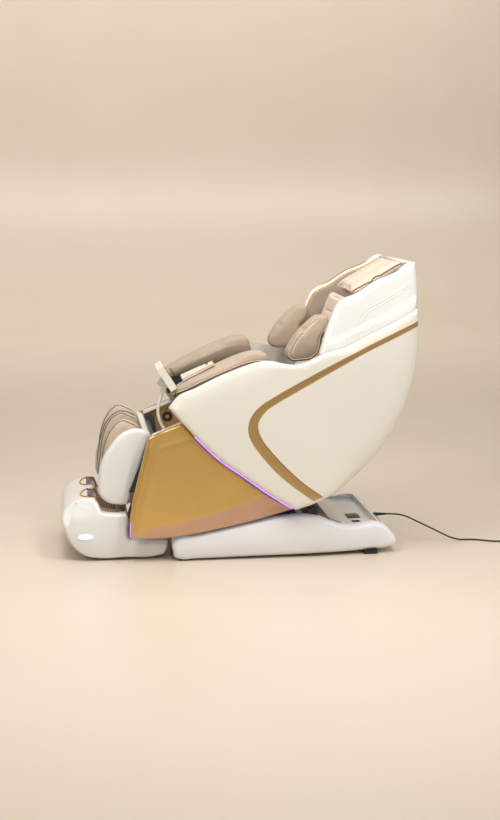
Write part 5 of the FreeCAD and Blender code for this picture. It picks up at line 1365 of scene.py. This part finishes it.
# %% [markdown]
# ## Armrests
# An armrest is a rolled leather top over a darker side insert, with light piping between them.
# The insert is the same pad, with its own finish below the seam, so the two stay joined.

# %% Armrests
REST_SIDE = [(-270, 704), (-298, 713), (-283, 734), (-240, 769), (-170, 806), (-101, 838), (-30, 870), (40, 896),
             (84, 899), (117, 886), (130, 850), (128, 802), (60, 785), (-60, 755), (-170, 725)]
rest_mesh = swell(pad_mesh("armrest_pad", REST_SIDE, 249, 351, (1,), 3.5, 20), 9, 5)
REST_SEAM = [(-292, 716), (-230, 738), (-160, 772), (-101, 800), (-30, 830), (40, 852), (90, 856), (124, 850)]
rest_tree = distance_tree(smooth_path(REST_SEAM, 2))
rest_seam_line = smooth_path(REST_SEAM, 5)


def seam_height(y):
    for a, b in zip(rest_seam_line, rest_seam_line[1:]):
        if a.x <= y <= b.x:
            return a.y + (b.y - a.y) * (y - a.x) / max(0.1, b.x - a.x)
    return 716.0 if y < 0 else 850.0


def rest_groove(x, y, z, normal):
    side_share = max(0.0, normal.x)
    below = seam_height(y) - z
    return side_share * (4.0 * notch(away(rest_tree, (y, z)), 4.0) + (4.0 if below > 0 else 0.0))


press(rest_mesh, rest_groove)
rests = pair_of("armrest_pad", rest_mesh, "leather_taupe", "back", ("armrest_pads",))
for rest in rests:
    rest.data.materials.append(finishes["leather_taupe_dark"])
    for face in rest.data.polygons:
        middle = face.center / MM
        if abs(face.normal.x) > 0.35 and middle.z < seam_height(middle.y):
            face.material_index = 1
rest_skin = surface_of(rest_mesh)
rest_pipe = laid_on(rest_skin, place3(356, [(p.x, p.y) for p in rest_seam_line]), 0.5)
pair_of("armrest_piping", rod_mesh("armrest_piping", rest_pipe, 1.9, 6), "piping_light", "back")
upper_pipe = laid_on(rest_skin, place3(352, [(p.x, p.y + 16) for p in rest_seam_line[3:]]), 0.2)
stitch_lines = [upper_pipe, turned_over(upper_pipe)]
stitch("armrest_stitches", stitch_lines, "back", "piping_light")
print("armrest:", len(rest_mesh.polygons), "faces")

# %% [markdown]
# ## Calf pads
# Four thin pads line the calf channels: one along each wall and two back to back in the middle.
# Each is an arch with dark piping on its edges and a row of pale stitches beside it.

# %% Calf pads
CALF_PAD = [(-496, 274), (-586, 300), (-594, 340), (-588, 420), (-576, 492), (-546, 560), (-520, 590), (-488, 606),
            (-450, 596), (-414, 574), (-410, 545), (-414, 520), (-455, 395)]
arch_line = smooth_path([(-583, 320), (-584, 360), (-580, 430), (-567, 494), (-540, 556), (-516, 582), (-486, 598),
                         (-452, 588), (-420, 568)], 5)
calf_mesh = swell(pad_mesh("calf_pad", CALF_PAD, 184, 233, (0,), 2.5, 11), 7, 5)
divider_mesh = swell(pad_mesh("calf_divider", CALF_PAD, -41, 41, (0,), 2.5, 12), 7, 5)
press(divider_mesh, lambda x, y, z, normal: 7.0 * notch(x, 4.5))
pair_of("calf_pad", calf_mesh, "leather_beige", "leg", ("calf_pads",))
divider = add_piece("calf_divider", divider_mesh, "leather_beige", "leg", 60)
calf_skin = surface_of(calf_mesh)
divider_skin = surface_of(divider_mesh)
for number, x in enumerate((187, 230)):
    line = laid_on(calf_skin, place3(x, [(p.x - 8, p.y + 6) for p in arch_line]), 0.5)
    pair_of(f"calf_piping_{number}", rod_mesh(f"calf_piping_{number}", line, 2.2, 6), "piping_dark", "leg")
for number, x in enumerate((12, 37)):
    line = laid_on(divider_skin, place3(x, [(p.x - 8, p.y + 6) for p in arch_line]), 0.5)
    pair_of(f"divider_piping_{number}", rod_mesh(f"divider_piping_{number}", line, 2.2, 6), "piping_dark", "leg")
rows = []
for skin, places in ((calf_skin, (194, 223)), (divider_skin, (18, 31))):
    for x in places:
        line = laid_on(skin, place3(x, [(p.x - 8, p.y + 6) for p in arch_line]), 0.2)
        rows += [line, turned_over(line)]
stitch("calf_stitches", rows, "leg", "piping_light")
print("calf pads:", len(calf_mesh.polygons), len(divider_mesh.polygons), "faces")

# %% [markdown]
# ## Tablet holder and quick panel
# The holder is a moulded shell with a dark slot on its rear, and the quick panel is a white wedge
# with a gilt frame, a ribbed grip and one key. Their CAD bodies keep their shape, so these pieces
# are laid on them: a slot, a frame and the ribs, made by the same repeating tree.

# %% Slot, frame and grip ribs
TABLET_TOP, TABLET_LOW = Vector((-322, 850)), Vector((-264, 758))
tablet_run = (TABLET_LOW - TABLET_TOP).normalized()
SLOT_FROM, SLOT_TO, SLOT_BEHIND, SLOT_OUT = 22, 62, 16, 4.4
slot_start = TABLET_TOP + tablet_run * SLOT_FROM
slot_end = TABLET_TOP + tablet_run * SLOT_TO
slot_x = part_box("tablet")[1].x / MM + SLOT_OUT
slot_shift = Vector((-tablet_run.y, tablet_run.x)) * SLOT_BEHIND
slot_line = [Vector((slot_x * MM, (p.x + slot_shift.x) * MM, (p.y + slot_shift.y) * MM))
             for p in (slot_start, (slot_start + slot_end) / 2, slot_end)]
add_piece("holder_slot", rod_mesh("holder_slot", slot_line, 2.4, 10, flat=0.5, up=(1, 0, 0)), "black_moulded",
          "tablet_mount")
QUICK_LOW, QUICK_HIGH = Vector((-236, 775)), Vector((-104, 841))
quick_run = (QUICK_HIGH - QUICK_LOW).normalized()
quick_up = Vector((-quick_run.y, quick_run.x))
quick_long = (QUICK_HIGH - QUICK_LOW).length
panel_low, panel_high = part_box("quick_panel")
LOW_THICK, HIGH_THICK = 22.0, 13.0


def on_quick(share, lift, x):
    """A place on the quick panel: share of its length, lift above its top face, and X."""
    place = QUICK_LOW + quick_run * quick_long * share
    place += quick_up * (LOW_THICK + (HIGH_THICK - LOW_THICK) * share + lift)
    return Vector((x * MM, place.x * MM, place.y * MM))


left_x, right_x = panel_high.x / MM, panel_low.x / MM
frame_line = [on_quick(0.01, -12, left_x + 0.6), on_quick(0.5, -8.5, left_x + 0.6), on_quick(0.99, -5, left_x + 0.6)]
add_piece("quick_trim", rod_mesh("quick_trim", frame_line, 1.8, 8), "gold_satin", "back")
end_line = [on_quick(0.995, 0.4, left_x), on_quick(0.995, 0.4, right_x)]
add_piece("quick_end_trim", rod_mesh("quick_end_trim", end_line, 2.2, 8), "gold_satin", "back")
rib_lines = []
for x in range(round(right_x) + 6, round(left_x) - 2, 6):
    rib_lines.append([on_quick(0.04, 0.5, x), on_quick(0.60, 0.5, x)])
ribs = repeat_mesh("quick_grip", rib_lines, 4.2, 3.6, 5.0, 3.0, "holder_cream")
add_piece("quick_grip", ribs, None, "back")
print("quick panel ribs:", len(rib_lines))

# %% [markdown]
# ## Trims round the foot wells and at the cord
# A rose-gilt bead rings each foot well, and small massage knobs stand in rows on the linings'
# soles. The cable's winding shows its turns as rings.

# %% Rings, knobs and turns
foot_skin = surface_of(foot)
for side, low, high in (("left", 26, 222), ("right", -222, -26)):
    ring = []
    corners = [(low + 2, -500), (low + 2, -600), (low + 20, -640), (high - 20, -640), (high - 2, -600),
               (high - 2, -500)]
    path = smooth_path([Vector(corner) for corner in corners], 8)
    for point in path:
        place = foot_skin.ray_cast(Vector((point.x * MM, point.y * MM, 0.40)), Vector((0, 0, -1)))[0]
        edge_high = 0.208 + 0.056 * ease((-584 - point.y) / 24)
        ring.append(Vector((point.x * MM, point.y * MM, place.z if place and place.z > 0.2 else edge_high)))
    add_piece(f"well_ring_{side}", rod_mesh(f"well_ring_{side}", ring, 4.2, 8), "stripe_bronze", "foot")
winding_low, winding_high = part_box("cable_winding")
centre = (winding_low + winding_high) / 2
for number in range(5):
    radius = 0.0095 + 0.0026 * number
    turn = [Vector((winding_high.x + 0.0004, centre.y + radius * math.cos(angle), centre.z + radius * math.sin(angle)))
            for angle in (math.tau * step / 36 for step in range(36))]
    add_piece(f"winding_turn_{number}", rod_mesh(f"winding_turn_{number}", turn, 1.4, 6, closed=True), "cord_black",
              "seat")
SOLE_THICK, KNOB_SINK = 12, 1.5
KNOB_FRONT, KNOB_REAR, KNOB_PITCH = -632, -530, 17
knob_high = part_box("foot_linings")[0].z / MM + SOLE_THICK + KNOB_SINK
knob_lines = [place3(sign * x, [(KNOB_FRONT, knob_high), (KNOB_REAR, knob_high)])
              for x in range(56, 216, 18) for sign in (1, -1)]
knobs = repeat_mesh("sole_knobs", knob_lines, KNOB_PITCH, 8, 8, 7, "roller_tan")
add_piece("sole_knobs", knobs, None, "foot")
print("rings, turns and", len(knob_lines), "rows of knobs made")
